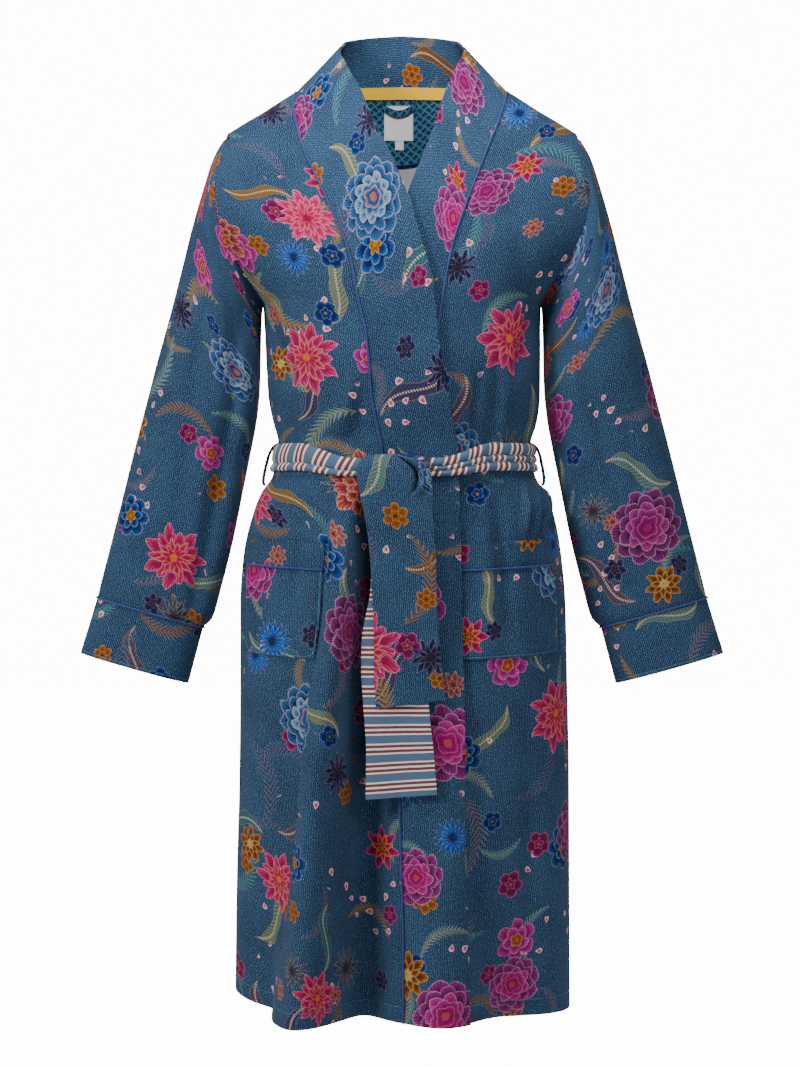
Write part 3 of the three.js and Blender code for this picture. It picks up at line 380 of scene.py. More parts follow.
# How finely each piece is divided: between the form's own rows and columns, or in all
FINER = 4
FACING_STEPS = dict(across=40, down=16)
PATCH_STEPS = 10
HANGER_STEPS = dict(along=24, down=4)
BELT_STEPS = 36
STRAP_STEPS = dict(along=32, around=12)
BAND_FINER = 3
POCKET_BAND_FINER = 6
KNOT_FINER = 8
BACK_TAIL_FINER = 10

CREASE_FADE = 0.7
CREASE_REACH = 3


def clamp(value):
    return min(1, max(0, value))


def mix(start, end, share):
    return start + (end - start) * share


def smoothstep(start, end, value):
    share = clamp((value - start) / (end - start))
    return share * share * (3 - 2 * share)


def bell(off, width):
    return math.exp(-((off / width) ** 2))


def finer(values, parts=FINER):
    """The values with parts - 1 even steps added between neighbours"""
    steps = [mix(a, b, k / parts) for a, b in zip(values, values[1:]) for k in range(parts)]
    return steps + [values[-1]]


def smooth_curve(at, value):
    """A smooth curve through points in rising order, which never overshoots between them"""
    slope = [(b - a) / (q - p) for p, q, a, b in zip(at, at[1:], value, value[1:])]
    inner = [0 if s * t <= 0 else 2 * s * t / (s + t) for s, t in zip(slope, slope[1:])]
    tangent = [slope[0], *inner, slope[-1]]
    last = len(at) - 2

    def curve(where):
        x = min(max(where, at[0]), at[-1])
        i = min(max(bisect.bisect_right(at, x) - 1, 0), last)
        width = at[i + 1] - at[i]
        s = (x - at[i]) / width
        rise = value[i + 1] - value[i]
        enter = tangent[i] * width
        leave = tangent[i + 1] * width
        return value[i] + s * (enter + s * (3 * rise - 2 * enter - leave + s * (enter + leave - 2 * rise)))

    return curve


def profile(rows, key, column):
    stated = sorted((row for row in rows if row[column] is not None), key=lambda row: row[key])
    return smooth_curve([row[key] for row in stated], [row[column] for row in stated])


side_width = {RIGHT: profile(SECTIONS, "z", "right"), LEFT: profile(SECTIONS, "z", "left")}
depths = {face: profile(SECTIONS, "z", face) for face in ("front", "back")}
shoulder_x = profile(SHOULDER, "z", "x")
pocket_slope = profile(POCKET_SLOPE, "z", "rise")
right_hem_rise = profile(RIGHT_HEM_RISE, "z", "rise")
seam_x = {side: profile(rows, "z", "x") for side, rows in BAND_SEAM.items()}
fold_lines = {
    name: (profile(rows, "z", "x"), profile(rows, "z", "push")) for name, rows in FRONT_FOLDS.items()
}


# Body form


def armhole_point(around, face):
    bow = abs(math.sin(around)) ** BOW_SHARPNESS
    return Vector((
        ARMHOLE["x"] + ARMHOLE["tilt"] * math.cos(around) + ARMHOLE["bow"] * bow,
        ARMHOLE[face] * math.sin(around),
        ARMHOLE["z"] + ARMHOLE["height"] * math.cos(around),
    ))


def armhole_at_height(z, face):
    return armhole_point(math.acos(min(1, max(-1, (z - ARMHOLE["z"]) / ARMHOLE["height"]))), face)


def half_width(z, side, face):
    if z <= UNDERARM_Z:
        return side_width[side](z)
    if z >= SHOULDER_TIP_Z:
        return shoulder_x(z)
    edge = armhole_at_height(z, face)
    return edge.x / (1 - (edge.y / depths[face](z)) ** SQUARENESS) ** (1 / SQUARENESS)


def turn_at(x, z, face="front"):
    """The turn about the form at a place x: 0 at the centre front, a right angle at the side"""
    side = RIGHT if x < 0 else LEFT
    across = min(1, abs(x) / half_width(z, side, face))
    along = (1 - across**SQUARENESS) ** (1 / SQUARENESS)
    turn = math.atan2(across, along)
    return side * (turn if face == "front" else math.pi - turn)


def side_turn(z, side, face):
    if z <= UNDERARM_Z or z >= SHOULDER_TIP_Z:
        return side * QUARTER
    return turn_at(side * armhole_at_height(z, face).x, z, face)


def gather_push(x, z):
    end = GATHERS["start"] + GATHERS["pitch"] * GATHERS["count"]
    if not (GATHERS["start"] < x < end and GATHERS["foot"] < z < GATHERS["top"]):
        return 0
    fade = GATHERS["top"] if z > GATHERS["fullest"] else GATHERS["foot"]
    wave = 0.5 - 0.5 * math.cos(math.tau * (x - GATHERS["start"]) / GATHERS["pitch"])
    return GATHERS["push"] * wave * smoothstep(fade, GATHERS["fullest"], z)


def front_push(x, z):
    if z > GUIDE_TOP_Z:
        return 0
    at = [-side_width[RIGHT](z), *(line(z) for line, _ in fold_lines.values()), side_width[LEFT](z)]
    push = [0, *(height(z) for _, height in fold_lines.values()), 0]
    return smooth_curve(at, push)(x) * FOLD_DEPTH + gather_push(x, z) * GATHER_DEPTH


def back_push(x, z):
    at = [-side_width[RIGHT](z), *(fold["x"] for fold in BACK_FOLDS), side_width[LEFT](z)]
    if z > GUIDE_TOP_Z or at[1] < at[0] or at[-2] > at[-1]:
        return 0
    push = [0, *(fold["hem"] * smoothstep(fold["top"], HEM_Z, z) for fold in BACK_FOLDS), 0]
    return smooth_curve(at, push)(x) * FOLD_DEPTH


def crease_push(x, z, face):
    """Soft creases, each a trough or ridge that runs from one end to the other and fades there"""
    push = 0
    for crease in CREASES:
        if crease["face"] != face:
            continue
        run = Vector((crease["x2"] - crease["x1"], crease["z2"] - crease["z1"]))
        away = Vector((x - crease["x1"], z - crease["z1"]))
        share = away.dot(run) / run.length_squared
        if not 0 < share < 1:
            continue
        off = (away.x * run.y - away.y * run.x) / run.length - crease["sag"] * math.sin(math.pi * share)
        if abs(off) < CREASE_REACH * crease["width"]:
            fade = math.sin(math.pi * share) ** CREASE_FADE
            push += crease["push"] * fade * bell(off, crease["width"])
    return push


def no_lift(x, z):
    return 0


def top_lift(x, z):
    return LAP * smoothstep(*LAP_X, x) * smoothstep(*LAP_Z, z)


def form_point(turn, z, lift=no_lift):
    """A point of the form, lifted off it by lift(x, z)"""
    side = RIGHT if math.sin(turn) < 0 else LEFT
    face = "front" if math.cos(turn) >= 0 else "back"
    facing = -1 if face == "front" else 1
    width = half_width(z, side, face)
    depth = depths[face](z)
    sine = abs(math.sin(turn))
    cosine = abs(math.cos(turn))
    reach = (sine**SQUARENESS + cosine**SQUARENESS) ** (1 / SQUARENESS)
    across = sine / reach
    along = cosine / reach
    x = side * width * across
    nx = side * across ** (SQUARENESS - 1) / width
    ny = facing * along ** (SQUARENESS - 1) / depth
    fold = front_push(x, z) if face == "front" else back_push(x, z)
    push = (lift(x, z) + fold + crease_push(x, z, face)) / math.hypot(nx, ny)
    nape = NAPE_RISE * (1 - sine**2) * smoothstep(-NAPE_BLEND, NECK_POINT_Z, z) if face == "back" else 0
    hem = right_hem_rise(z) * sine**HEM_RISE_SHARPNESS if side == RIGHT else 0
    height = z + nape + pocket_slope(z) * sine**2 + hem
    return Vector((x + nx * push, facing * depth * along + ny * push, height))


TURN_STEP = math.radians(0.15)
HEIGHT_STEP = 0.4


def across(surface, u, v, du, dv):
    """The normal of a surface of two values"""
    along_u = surface(u + du, v) - surface(u - du, v)
    along_v = surface(u, v + dv) - surface(u, v - dv)
    return along_u.cross(along_v).normalized()


def form_spot(turn, z, lift=no_lift):
    """A place on the form, with its outward normal"""
    def surface(t, h):
        return form_point(t, h, lift)
    return surface(turn, z), across(surface, turn, z, TURN_STEP, HEIGHT_STEP)


# Body panels

sleeve_angles = [math.tau * k / SLEEVE_SIDES for k in range(SLEEVE_SIDES)]
armhole_rows = [armhole_point(around, "front").z for around in sleeve_angles[: SLEEVE_SIDES // 2 + 1]]
front_rows = [*SHOULDER_ROWS, *armhole_rows, *LOWER_ROWS]
back_rows = [NECK_POINT_Z, *SHOULDER_ROWS[1:], *armhole_rows, *LOWER_ROWS]
lifts = {RIGHT: top_lift, LEFT: no_lift}

# The guide lines that a front's columns follow, from the side to the band seam
GUIDES = {
    RIGHT: [
        (3, lambda z: turn_at(POCKET_EDGES["right_outer"], POCKET_EDGES["sized_at"])),
        (7, lambda z: turn_at(fold_lines["foot"][0](z) - POCKET["clear"], z)),
        (1, lambda z: turn_at(fold_lines["foot"][0](z), z)),
        (2, lambda z: turn_at(fold_lines["shoulder"][0](z), z)),
        (2, lambda z: turn_at(fold_lines["crest"][0](z), z)),
    ],
    LEFT: [
        (2, lambda z: turn_at(POCKET_EDGES["left_outer"], POCKET_EDGES["sized_at"])),
        (6, lambda z: turn_at(POCKET_EDGES["left_gathers"], min(z, GATHERS["top"]))),
        (5, lambda z: turn_at(POCKET_EDGES["left_inner"], z)),
    ],
}
LAST_COLUMNS = 4
POCKET_COLUMNS = {RIGHT: (3, 10), LEFT: (2, 13)}


def front_turns(side, z):
    held = min(z, GUIDE_TOP_Z)
    start = side_turn(held, side, "front")
    end = turn_at(seam_x[side](held), held)
    stops = [(0, 0), *((count, (turn(held) - start) / (end - start)) for count, turn in GUIDES[side])]
    stops.append((LAST_COLUMNS, 1))
    shares = [0]
    for (_, low), (count, high) in zip(stops, stops[1:]):
        shares += [mix(low, high, (k + 1) / count) for k in range(count)]
    first = side_turn(z, side, "front")
    last = turn_at(seam_x[side](z), z)
    return finer([mix(first, last, share) for share in shares])


def front_panel(side):
    rows = []
    for z in finer(front_rows):
        row = [form_point(turn, z, lifts[side]) for turn in front_turns(side, z)]
        allowance = row[0] + Vector((-side * SIDE_ALLOWANCE["under"], SIDE_ALLOWANCE["back"], 0))
        row[0].y -= HALF_SEAM
        rows.append([allowance, *row])
    return rows


def back_panel():
    rows = []
    for z in finer(back_rows):
        ends = {side: abs(side_turn(z, side, "back")) for side in (RIGHT, LEFT)}
        steps = BACK_HALF_COLUMNS * FINER
        row = []
        for k in range(-steps, steps + 1):
            side = RIGHT if k < 0 else LEFT
            row.append(form_point(side * mix(math.pi, ends[side], abs(k) / steps), z))
        row[0].y += HALF_SEAM
        row[-1].y += HALF_SEAM
        rows.append(row)
    return rows


# Neck band

BAND_VALUES = ("right", "left", "y", "rise", "cling")
band_edge = {column: profile(BAND_EDGE, "station", column) for column in BAND_VALUES}
front_stations = [(z / STATION_HEIGHT, z) for z in finer(front_rows[::-1])]
neck_shares = [k / BACK_HALF_COLUMNS for k in range(BACK_HALF_COLUMNS + 1)]
neck_stations = [(share, NECK_POINT_Z) for share in finer(neck_shares)]
band_stations = [*front_stations, *neck_stations]


def band_point(side, station, z, share):
    """A point of the band: share 0 at its seam, 1 at its free edge"""
    lift = lifts[side]
    if station < 0:
        seam = form_point(turn_at(seam_x[side](z), z), z, lift)
    else:
        seam = form_point(side * mix(QUARTER, math.pi, station), z)
    edge_x = band_edge["right" if side == RIGHT else "left"](station)
    rise = band_edge["rise"](station)
    cling = band_edge["cling"](station)
    standing = seam.lerp(Vector((edge_x, band_edge["y"](station), seam.z + rise)), share)
    if cling == 0:
        return standing
    x = mix(seam_x[side](z), edge_x, share)
    height = z + rise * share
    return standing.lerp(form_point(turn_at(x, height), height, lift), cling)


STATION_STEP = 0.02


def band_spot(side, station, z, share):
    def surface(change, s):
        height = min(NECK_POINT_Z, z + change * STATION_HEIGHT) if station < 0 else z
        return band_point(side, station + change, height, s)
    normal = across(surface, 0, share, STATION_STEP, STATION_STEP)
    return band_point(side, station, z, share), -normal if side == RIGHT else normal


def band_rows(side, shares):
    rows = []
    for i, (station, z) in enumerate(band_stations):
        row = [band_point(side, station, z, share) for share in shares]
        if station < 0:
            row[0].x -= side * SEAM
        else:
            row[0].z += SEAM
        if i == len(band_stations) - 1:
            for point in row:
                point.x += side * HALF_SEAM
        rows.append(row)
    return rows


# Sleeves and cuffs

SLEEVE_VALUES = ("ox", "oz", "ix", "iz", "front", "back", "bow")
WRIST_RING = len(SLEEVE) - 1
for ring, row in enumerate(SLEEVE):
    row["ring"] = ring
sleeve_curve = {column: profile(SLEEVE, "ring", column) for column in SLEEVE_VALUES}


def sleeve_centre(side, ring):
    x = mix(sleeve_curve["ox"](ring), sleeve_curve["ix"](ring), 0.5)
    return Vector((side * x, 0, mix(sleeve_curve["oz"](ring), sleeve_curve["iz"](ring), 0.5)))


def sleeve_point(side, ring, around):
    ox, oz, ix, iz, front, back, bow = (sleeve_curve[column](ring) for column in SLEEVE_VALUES)
    blend = smoothstep(0, SLEEVE_SQUARENESS["blend"], ring)
    power = mix(SLEEVE_SQUARENESS["armhole"], SLEEVE_SQUARENESS["wrist"], blend)
    cosine = math.cos(around)
    sine = math.sin(around)
    reach = (abs(cosine) ** power + abs(sine) ** power) ** (1 / power)
    up = cosine / reach
    forward = sine / reach
    depth = front if forward > 0 else back
    gap = ARMHOLE_GAP * (1 - smoothstep(0, 1, ring))
    x = mix(ix, ox, (1 + up) / 2) + bow * abs(sine) ** BOW_SHARPNESS + gap
    point = Vector((side * x, -depth * forward, mix(iz, oz, (1 + up) / 2)))
    push = sleeve_push(side, ring, around)
    if push:
        outward = point - sleeve_centre(side, ring)
        point += outward.normalized() * push
    return point


def sleeve_push(side, ring, around):
    """Soft creases along a sleeve, none at its two seams"""
    push = 0
    for crease in SLEEVE_CREASES:
        if crease["side"] not in (side, BOTH):
            continue
        share = (ring - crease["start"]) / (crease["end"] - crease["start"])
        if not 0 < share < 1:
            continue
        centre = math.radians(mix(crease["angle"], crease["end_angle"], share))
        off = math.degrees((around - centre + math.pi) % math.tau - math.pi)
        push += crease["push"] * math.sin(math.pi * share) * bell(off, crease["width"])
    return push


ring_angles = [math.tau * k / (SLEEVE_SIDES * FINER) for k in range(SLEEVE_SIDES * FINER + 1)]


def sleeve_rows(side):
    rings = finer(range(len(SLEEVE)))
    rows = [[sleeve_point(side, ring, around) for around in ring_angles] for ring in rings]
    centre = sleeve_centre(side, 0)
    tucked = []
    for point in rows[0]:
        under = (point - centre).normalized() * TUCK["under"]
        tucked.append(point - under - Vector((side * TUCK["in"], 0, 0)))
    return [tucked, *rows[1:]]


def cuff_rows(side, shares):
    centre = sleeve_centre(side, WRIST_RING)
    run = Vector((side * CUFF_DROP.x, 0, CUFF_DROP.z))
    gap = run.normalized() * SEAM
    rows = []
    for share in shares:
        spread = mix(1, CUFF_SPREAD, share)
        row = [(sleeve_point(side, WRIST_RING, around) - centre) * spread for around in ring_angles]
        rows.append([centre + radial + gap + run * share for radial in row])
    return rows


# Node sums: a Value is a node's output, so that sums of sockets read as sums


class Value:
    def __init__(self, tree, socket):
        self.tree = tree
        self.socket = socket

    def __add__(self, other):
        return maths(self.tree, "ADD", self, other)

    def __sub__(self, other):
        return maths(self.tree, "SUBTRACT", self, other)

    def __rsub__(self, other):
        return maths(self.tree, "SUBTRACT", other, self)

    def __mul__(self, other):
        return maths(self.tree, "MULTIPLY", self, other)

    def __truediv__(self, other):
        return maths(self.tree, "DIVIDE", self, other)

    def __pow__(self, other):
        return maths(self.tree, "POWER", self, other)


def feed(tree, socket, value):
    if isinstance(value, Value):
        tree.links.new(value.socket, socket)
    elif value is not None:
        socket.default_value = value


def node(tree, kind, inputs=(), output=0, **settings):
    made = tree.nodes.new(kind)
    for name, setting in settings.items():
        setattr(made, name, setting)
    for name, value in dict(inputs).items():
        feed(tree, made.inputs[name], value)
    return Value(tree, made.outputs[output])


def maths(tree, operation, *values, clamped=False):
    return node(tree, "ShaderNodeMath", enumerate(values), operation=operation, use_clamp=clamped)


def ease(value, low, high, start=0, end=1):
    """start below low, end above high, and a smooth step between"""
    inputs = {"Value": value, "From Min": low, "From Max": high, "To Min": start, "To Max": end}
    return node(value.tree, "ShaderNodeMapRange", inputs, interpolation_type="SMOOTHSTEP")


def blend(share, start, end, how="MIX"):
    inputs = {"Factor": share, 6: start, 7: end}
    return node(share.tree, "ShaderNodeMix", inputs, 2, data_type="RGBA", blend_type=how)


def wave(value):
    return maths(value.tree, "SINE", value)


def fraction(value):
    return maths(value.tree, "FRACT", value)


def size_of(value):
    return maths(value.tree, "ABSOLUTE", value)


def split(vector):
    made = vector.tree.nodes.new("ShaderNodeSeparateXYZ")
    feed(vector.tree, made.inputs[0], vector)
    return [Value(vector.tree, socket) for socket in made.outputs]


def joined(tree, x, y, z=0):
    return node(tree, "ShaderNodeCombineXYZ", enumerate((x, y, z)))


def scaled(vector, factor):
    return node(vector.tree, "ShaderNodeVectorMath", {0: vector, "Scale": factor}, operation="SCALE")


def length_of(vector):
    return node(vector.tree, "ShaderNodeVectorMath", {0: vector}, "Value", operation="LENGTH")


def noise(vector, scale, detail=2, roughness=0.5):
    return node(vector.tree, "ShaderNodeTexNoise", {
        "Vector": vector, "Scale": scale, "Detail": detail, "Roughness": roughness,
    })


RICHNESS = 1.3
LUMINANCE = (0.21, 0.72, 0.07)
SCREEN_GAMMA = 2.2
DARKEST = 0.002


def shade(hue, richness=RICHNESS):
    """A colour given as it looks on screen, 0 to 255, made richer for the soft studio light"""
    linear = [(c / 255) ** SCREEN_GAMMA for c in hue]
    grey = sum(c * weight for c, weight in zip(linear, LUMINANCE))
    return (*(max(DARKEST, mix(grey, c, richness)) for c in linear), 1)


def bands(value, starts, hues):
    """Each colour from its own start up to the next one's"""
    made = value.tree.nodes.new("ShaderNodeValToRGB")
    ramp = made.color_ramp
    ramp.interpolation = "CONSTANT"
    while len(ramp.elements) < len(hues):
        ramp.elements.new(1)
    for element, start, hue in zip(ramp.elements, starts, hues):
        element.position = start
        element.color = hue
    feed(value.tree, made.inputs[0], value)
    return Value(value.tree, made.outputs[0])


def choice(index, hues):
    """One of several colours by a value from 0 to 1"""
    return bands(index, [k / len(hues) for k in range(len(hues))], hues)


SOCKETS = dict(value="NodeSocketFloat", colour="NodeSocketColor", vector="NodeSocketVector")


def group(name, inputs, outputs, build):
    """A shader node group: inputs and outputs are tables of socket names and kinds"""
    tree = bpy.data.node_groups.new(name, "ShaderNodeTree")
    for label, kind in inputs.items():
        tree.interface.new_socket(label, in_out="INPUT", socket_type=SOCKETS[kind])
    for label, kind in outputs.items():
        tree.interface.new_socket(label, in_out="OUTPUT", socket_type=SOCKETS[kind])
    entry = tree.nodes.new("NodeGroupInput")
    leave = tree.nodes.new("NodeGroupOutput")
    made = build(*(Value(tree, entry.outputs[label]) for label in inputs))
    for label, value in zip(outputs, made if isinstance(made, tuple) else (made,)):
        tree.links.new(value.socket, leave.inputs[label])
    return tree


def use(tree, made, *values):
    """Places a group; its outputs come back in order"""
    placed = tree.nodes.new("ShaderNodeGroup")
    placed.node_tree = made
    for socket, value in zip(placed.inputs, values):
        feed(tree, socket, value)
    return [Value(tree, socket) for socket in placed.outputs]


# Effects that several cloths share


SECOND_DRAW = 7.3
GROWTH = dict(least=0.82, spread=0.36)
CROWDING = 2.3


def chances(tree, *place):
    """Three values from 0 to 1, by chance, for a place"""
    inputs = {"Vector": joined(tree, *place)}
    return split(node(tree, "ShaderNodeTexWhiteNoise", inputs, 1, noise_dimensions="3D"))


def build_scatter(place, pitch, size, seed, share):
    """Places in staggered rows, each moved, turned, grown, and kept or left out by chance"""
    tree = place.tree
    x, y, _ = split(scaled(place, maths(tree, "DIVIDE", 1, pitch)))
    row = maths(tree, "FLOOR", y)
    x = x + row * 0.5
    column = maths(tree, "FLOOR", x)
    sideways, upwards, turn = chances(tree, column, row, seed)
    kept, kind, growth = chances(tree, row, column, seed + SECOND_DRAW)
    grown = size * maths(tree, "MULTIPLY_ADD", growth, GROWTH["spread"], GROWTH["least"])
    free = maths(tree, "MULTIPLY_ADD", size / pitch, -CROWDING, 1.0, clamped=True)
    dx = x - column - 0.5 - (sideways - 0.5) * free
    dy = y - row - 0.5 - (upwards - 0.5) * free
    local = scaled(joined(tree, dx, dy), pitch / grown)
    inputs = {"Vector": local, "Angle": turn * math.tau}
    turned = node(tree, "ShaderNodeVectorRotate", inputs, rotation_type="Z_AXIS")
    return turned, kind, maths(tree, "LESS_THAN", kept, share)


SCATTER = group(
    "Scattered places",
    dict(Place="vector", Pitch="value", Size="value", Seed="value", Share="value"),
    dict(Place="vector", Kind="value", Present="value"),
    build_scatter,
)


PETAL_THREADS = 52
THREAD_LEAN = 9
OUTLINE_STRENGTH = 0.42


def build_ring(reach, angle, size, petals, depth, sharpness, turn, rim, heart, under, cover):
    """A ring of petals, dark at the heart, with pale threads at the rim and a pale outline"""
    tree = reach.tree
    spread = fraction(angle * petals + turn)
    off = size_of(spread - 0.5) * 2
    edge = size * (1 - depth * off**sharpness)
    inside = (edge - reach) / size
    mask = ease(inside, -0.015, 0.02)
    threads = ease(wave(angle * petals * PETAL_THREADS + reach * THREAD_LEAN), -0.5, 0.5)
    lit = ease(inside, 0.02, 0.34, 1, 0) * (threads * 0.8 + 0.2)
    body = blend(lit, heart, rim)
    body = blend(ease(off, 0.7, 1) * ease(inside, 0, 0.2) * 0.7, body, heart, "MULTIPLY")
    pale = blend(ease(inside, 0.02, 0.055, 1, 0) * OUTLINE_STRENGTH, body, shade((222, 184, 204)))
    return blend(mask, under, pale), maths(tree, "MAXIMUM", cover, mask)


RING = group(
    "Ring of petals",
    dict(
        Reach="value", Angle="value", Size="value", Petals="value", Depth="value", Sharpness="value",
        Turn="value", Rim="colour", Heart="colour", Under="colour", Cover="value",
    ),
    dict(Colour="colour", Cover="value"),
    build_ring,
)


MOST_PETALS = 16
SHARPEST = 4


def shape(petals, depth, sharpness):
    """A ring's form written as a colour, so that a colour ramp can choose it"""
    return (petals / MOST_PETALS, depth, sharpness / SHARPEST, 1)


# Kinds of flower: petals, how deep and how sharply they part, and the colours of their rings
LARGE_FLOWERS = table("outer inner rim heart mid_rim mid_heart core eye", [
    (
        shape(9, 0.16, 2.2), shape(7, 0.2, 2), (158, 70, 136), (72, 14, 62), (196, 82, 152), (126, 24, 92),
        (214, 44, 124), (150, 84, 60),
    ),
    (
        shape(11, 0.14, 2), shape(9, 0.2, 2), (76, 122, 172), (8, 16, 50), (164, 192, 206), (34, 74, 116),
        (206, 140, 122), (130, 70, 58),
    ),
    (
        shape(8, 0.6, 1.1), shape(8, 0.62, 1), (228, 112, 150), (166, 20, 80), (220, 130, 138),
        (170, 24, 80), (196, 34, 96), (84, 18, 42),
    ),
    (
        shape(10, 0.18, 2.4), shape(8, 0.2, 2), (138, 66, 124), (56, 12, 52), (170, 84, 142), (104, 24, 84),
        (200, 54, 132), (90, 42, 48),
    ),
    (
        shape(7, 0.58, 1.2), shape(8, 0.6, 1), (214, 92, 130), (138, 16, 72), (214, 138, 122),
        (156, 28, 72), (180, 34, 84), (196, 140, 76),
    ),
    (
        shape(6, 0.55, 1.3), shape(6, 0.5, 1.2), (196, 124, 104), (108, 44, 50), (198, 156, 118),
        (120, 44, 54), (180, 112, 50), (76, 36, 30),
    ),
])
MEDIUM_FLOWERS = table("outer inner rim heart mid_rim mid_heart core eye", [
    (
        shape(8, 0.45, 1.3), shape(8, 0.4, 1.2), (190, 138, 64), (92, 52, 26), (200, 156, 78),
        (104, 60, 28), (66, 42, 30), (206, 180, 120),
    ),
    (
        shape(6, 0.35, 2.4), shape(5, 0.3, 2), (196, 84, 158), (118, 20, 92), (210, 116, 172),
        (140, 34, 104), (216, 160, 104), (140, 70, 56),
    ),
    (
        shape(7, 0.3, 2.6), shape(6, 0.4, 2), (40, 104, 166), (10, 26, 66), (50, 130, 186), (12, 40, 88),
        (206, 166, 76), (132, 86, 36),
    ),
    (
        shape(16, 0.5, 1), shape(14, 0.5, 1), (24, 122, 190), (8, 56, 120), (40, 140, 206), (10, 70, 140),
        (10, 70, 126), (14, 30, 62),
    ),
    (
        shape(12, 0.66, 0.9), shape(10, 0.6, 0.9), (118, 122, 122), (48, 54, 66), (124, 128, 122),
        (58, 60, 70), (80, 66, 82), (34, 28, 40),
    ),
    (
        shape(10, 0.6, 1.1), shape(8, 0.5, 1), (48, 56, 90), (22, 26, 50), (56, 62, 92), (26, 28, 50),
        (60, 50, 72), (24, 22, 36),
    ),
    (
        shape(7, 0.5, 1.2), shape(7, 0.5, 1.1), (206, 70, 128), (110, 14, 62), (220, 150, 84),
        (160, 50, 60), (220, 170, 96), (100, 36, 40),
    ),
])
SMALL_FLOWERS = table("outer inner rim heart mid_rim mid_heart core eye", [
    (
        shape(5, 0.34, 2.4), shape(5, 0.5, 1.2), (176, 60, 122), (88, 12, 60), (196, 90, 140),
        (112, 20, 74), (210, 170, 104), (100, 54, 40),
    ),
    (
        shape(6, 0.4, 2.2), shape(6, 0.5, 1.2), (184, 126, 56), (120, 72, 28), (204, 156, 84),
        (124, 76, 36), (96, 54, 30), (54, 32, 22),
    ),
    (
        shape(5, 0.3, 2.6), shape(5, 0.4, 2), (34, 96, 154), (8, 30, 72), (36, 112, 166), (12, 44, 90),
        (200, 170, 84), (110, 80, 36),
    ),
    (
        shape(8, 0.5, 1.8), shape(6, 0.5, 1.2), (200, 146, 132), (128, 68, 66), (212, 176, 160),
        (130, 74, 66), (130, 56, 58), (78, 28, 34),
    ),
    (
        shape(6, 0.4, 1.6), shape(5, 0.5, 1.2), (70, 74, 104), (28, 30, 56), (90, 84, 110), (36, 32, 56),
        (110, 90, 90), (40, 32, 44),
    ),
])


EYE_DOTS = 14
EYE_RINGS = 95


def build_flower(kinds, rings):
    """A flower of several rings; its colours and petals follow its kind"""
    def build(place, kind, present, under):
        tree = place.tree
        x, y, _ = split(place)
        reach = length_of(place)
        angle = maths(tree, "ARCTAN2", y, x) * (1 / math.tau) + 0.5
        wobble = noise(scaled(place, 2.6), 1.0, 1) - 0.5
        reach = reach + wobble * 0.22
        angle = angle + wobble * 0.06
        picked = {column: choice(kind, [row[column] for row in kinds]) for column in ("outer", "inner")}
        for column in ("rim", "heart", "mid_rim", "mid_heart", "core", "eye"):
            picked[column] = choice(kind, [shade(row[column]) for row in kinds])
        colour = under
        cover = present * 0
        for size, form, fewer, turn, rim, heart in rings:
            petals, depth, sharpness = split(picked[form])
            petals = maths(tree, "ROUND", petals * (MOST_PETALS * fewer))
            colour, cover = use(
                tree, RING, reach, angle, size, petals, depth, sharpness * SHARPEST, turn,
                picked[rim], picked[heart], colour, cover,
            )
        dots = maths(tree, "GREATER_THAN", wave(angle * EYE_DOTS * math.tau) * wave(reach * EYE_RINGS), 0.1)
        eye = blend(dots * 0.8, picked["eye"], picked["core"])
        colour = blend(ease(reach, 0.1, 0.125, 1, 0), colour, eye)
        return blend(present * cover, under, colour)
    return build


MOTIF_SOCKETS = dict(Place="vector", Kind="value", Present="value", Under="colour")


def motif_group(name, build):
    return group(name, MOTIF_SOCKETS, dict(Colour="colour"), build)


# Rings of a flower, from the outside: size, form, share of its petals, turn, colours of rim and heart
LARGE_RINGS = [
    (1.0, "outer", 1, 0.0, "rim", "heart"),
    (0.8, "outer", 1, 0.5, "rim", "heart"),
    (0.62, "inner", 1, 0.0, "mid_rim", "mid_heart"),
    (0.48, "inner", 1, 0.5, "mid_rim", "mid_heart"),
    (0.3, "inner", 0.6, 0.2, "core", "mid_heart"),
]
MEDIUM_RINGS = [
    (1.0, "outer", 1, 0.0, "rim", "heart"),
    (0.66, "inner", 1, 0.5, "mid_rim", "mid_heart"),
    (0.34, "inner", 1, 0.0, "core", "eye"),
]
SMALL_RINGS = [
    (1.0, "outer", 1, 0.0, "rim", "heart"),
    (0.5, "inner", 1, 0.5, "mid_rim", "mid_heart"),
]
LARGE_FLOWER = motif_group("Large flower", build_flower(LARGE_FLOWERS, LARGE_RINGS))
MEDIUM_FLOWER = motif_group("Medium flower", build_flower(MEDIUM_FLOWERS, MEDIUM_RINGS))
SMALL_FLOWER = motif_group("Small flower", build_flower(SMALL_FLOWERS, SMALL_RINGS))

LEAF_HUES = [
    (104, 132, 128), (122, 136, 116), (116, 84, 58), (136, 108, 70), (70, 112, 120), (66, 66, 96),
    (92, 80, 100),
]


def build_sprig(place, kind, present, under):
    """A curved stem with slanting leaflets on both sides"""
    tree = place.tree
    x, y, _ = split(place)
    bent = size_of(x - (y * y - 0.35) * 0.55)
    reach = maths(tree, "SUBTRACT", 1, y * y, clamped=True) ** 0.5 * 0.24
    leaflet = size_of(fraction((y - bent * 1.1) * 8) - 0.5)
    taper = ease(bent / reach, 0.3, 1, 0.34, 0)
    blade = maths(tree, "LESS_THAN", leaflet, taper) * maths(tree, "LESS_THAN", bent, reach)
    stem = ease(bent, 0.012, 0.022, 1, 0) * maths(tree, "LESS_THAN", size_of(y), 0.98)
    vein = ease(leaflet, 0.03, 0.07, 1, 0)
    hue = choice(kind, [shade(hue) for hue in LEAF_HUES])
    colour = blend(vein * 0.55, hue, shade((186, 196, 186)))
    cover = maths(tree, "MAXIMUM", blade, stem) * present
    return blend(cover * 0.85, under, colour)


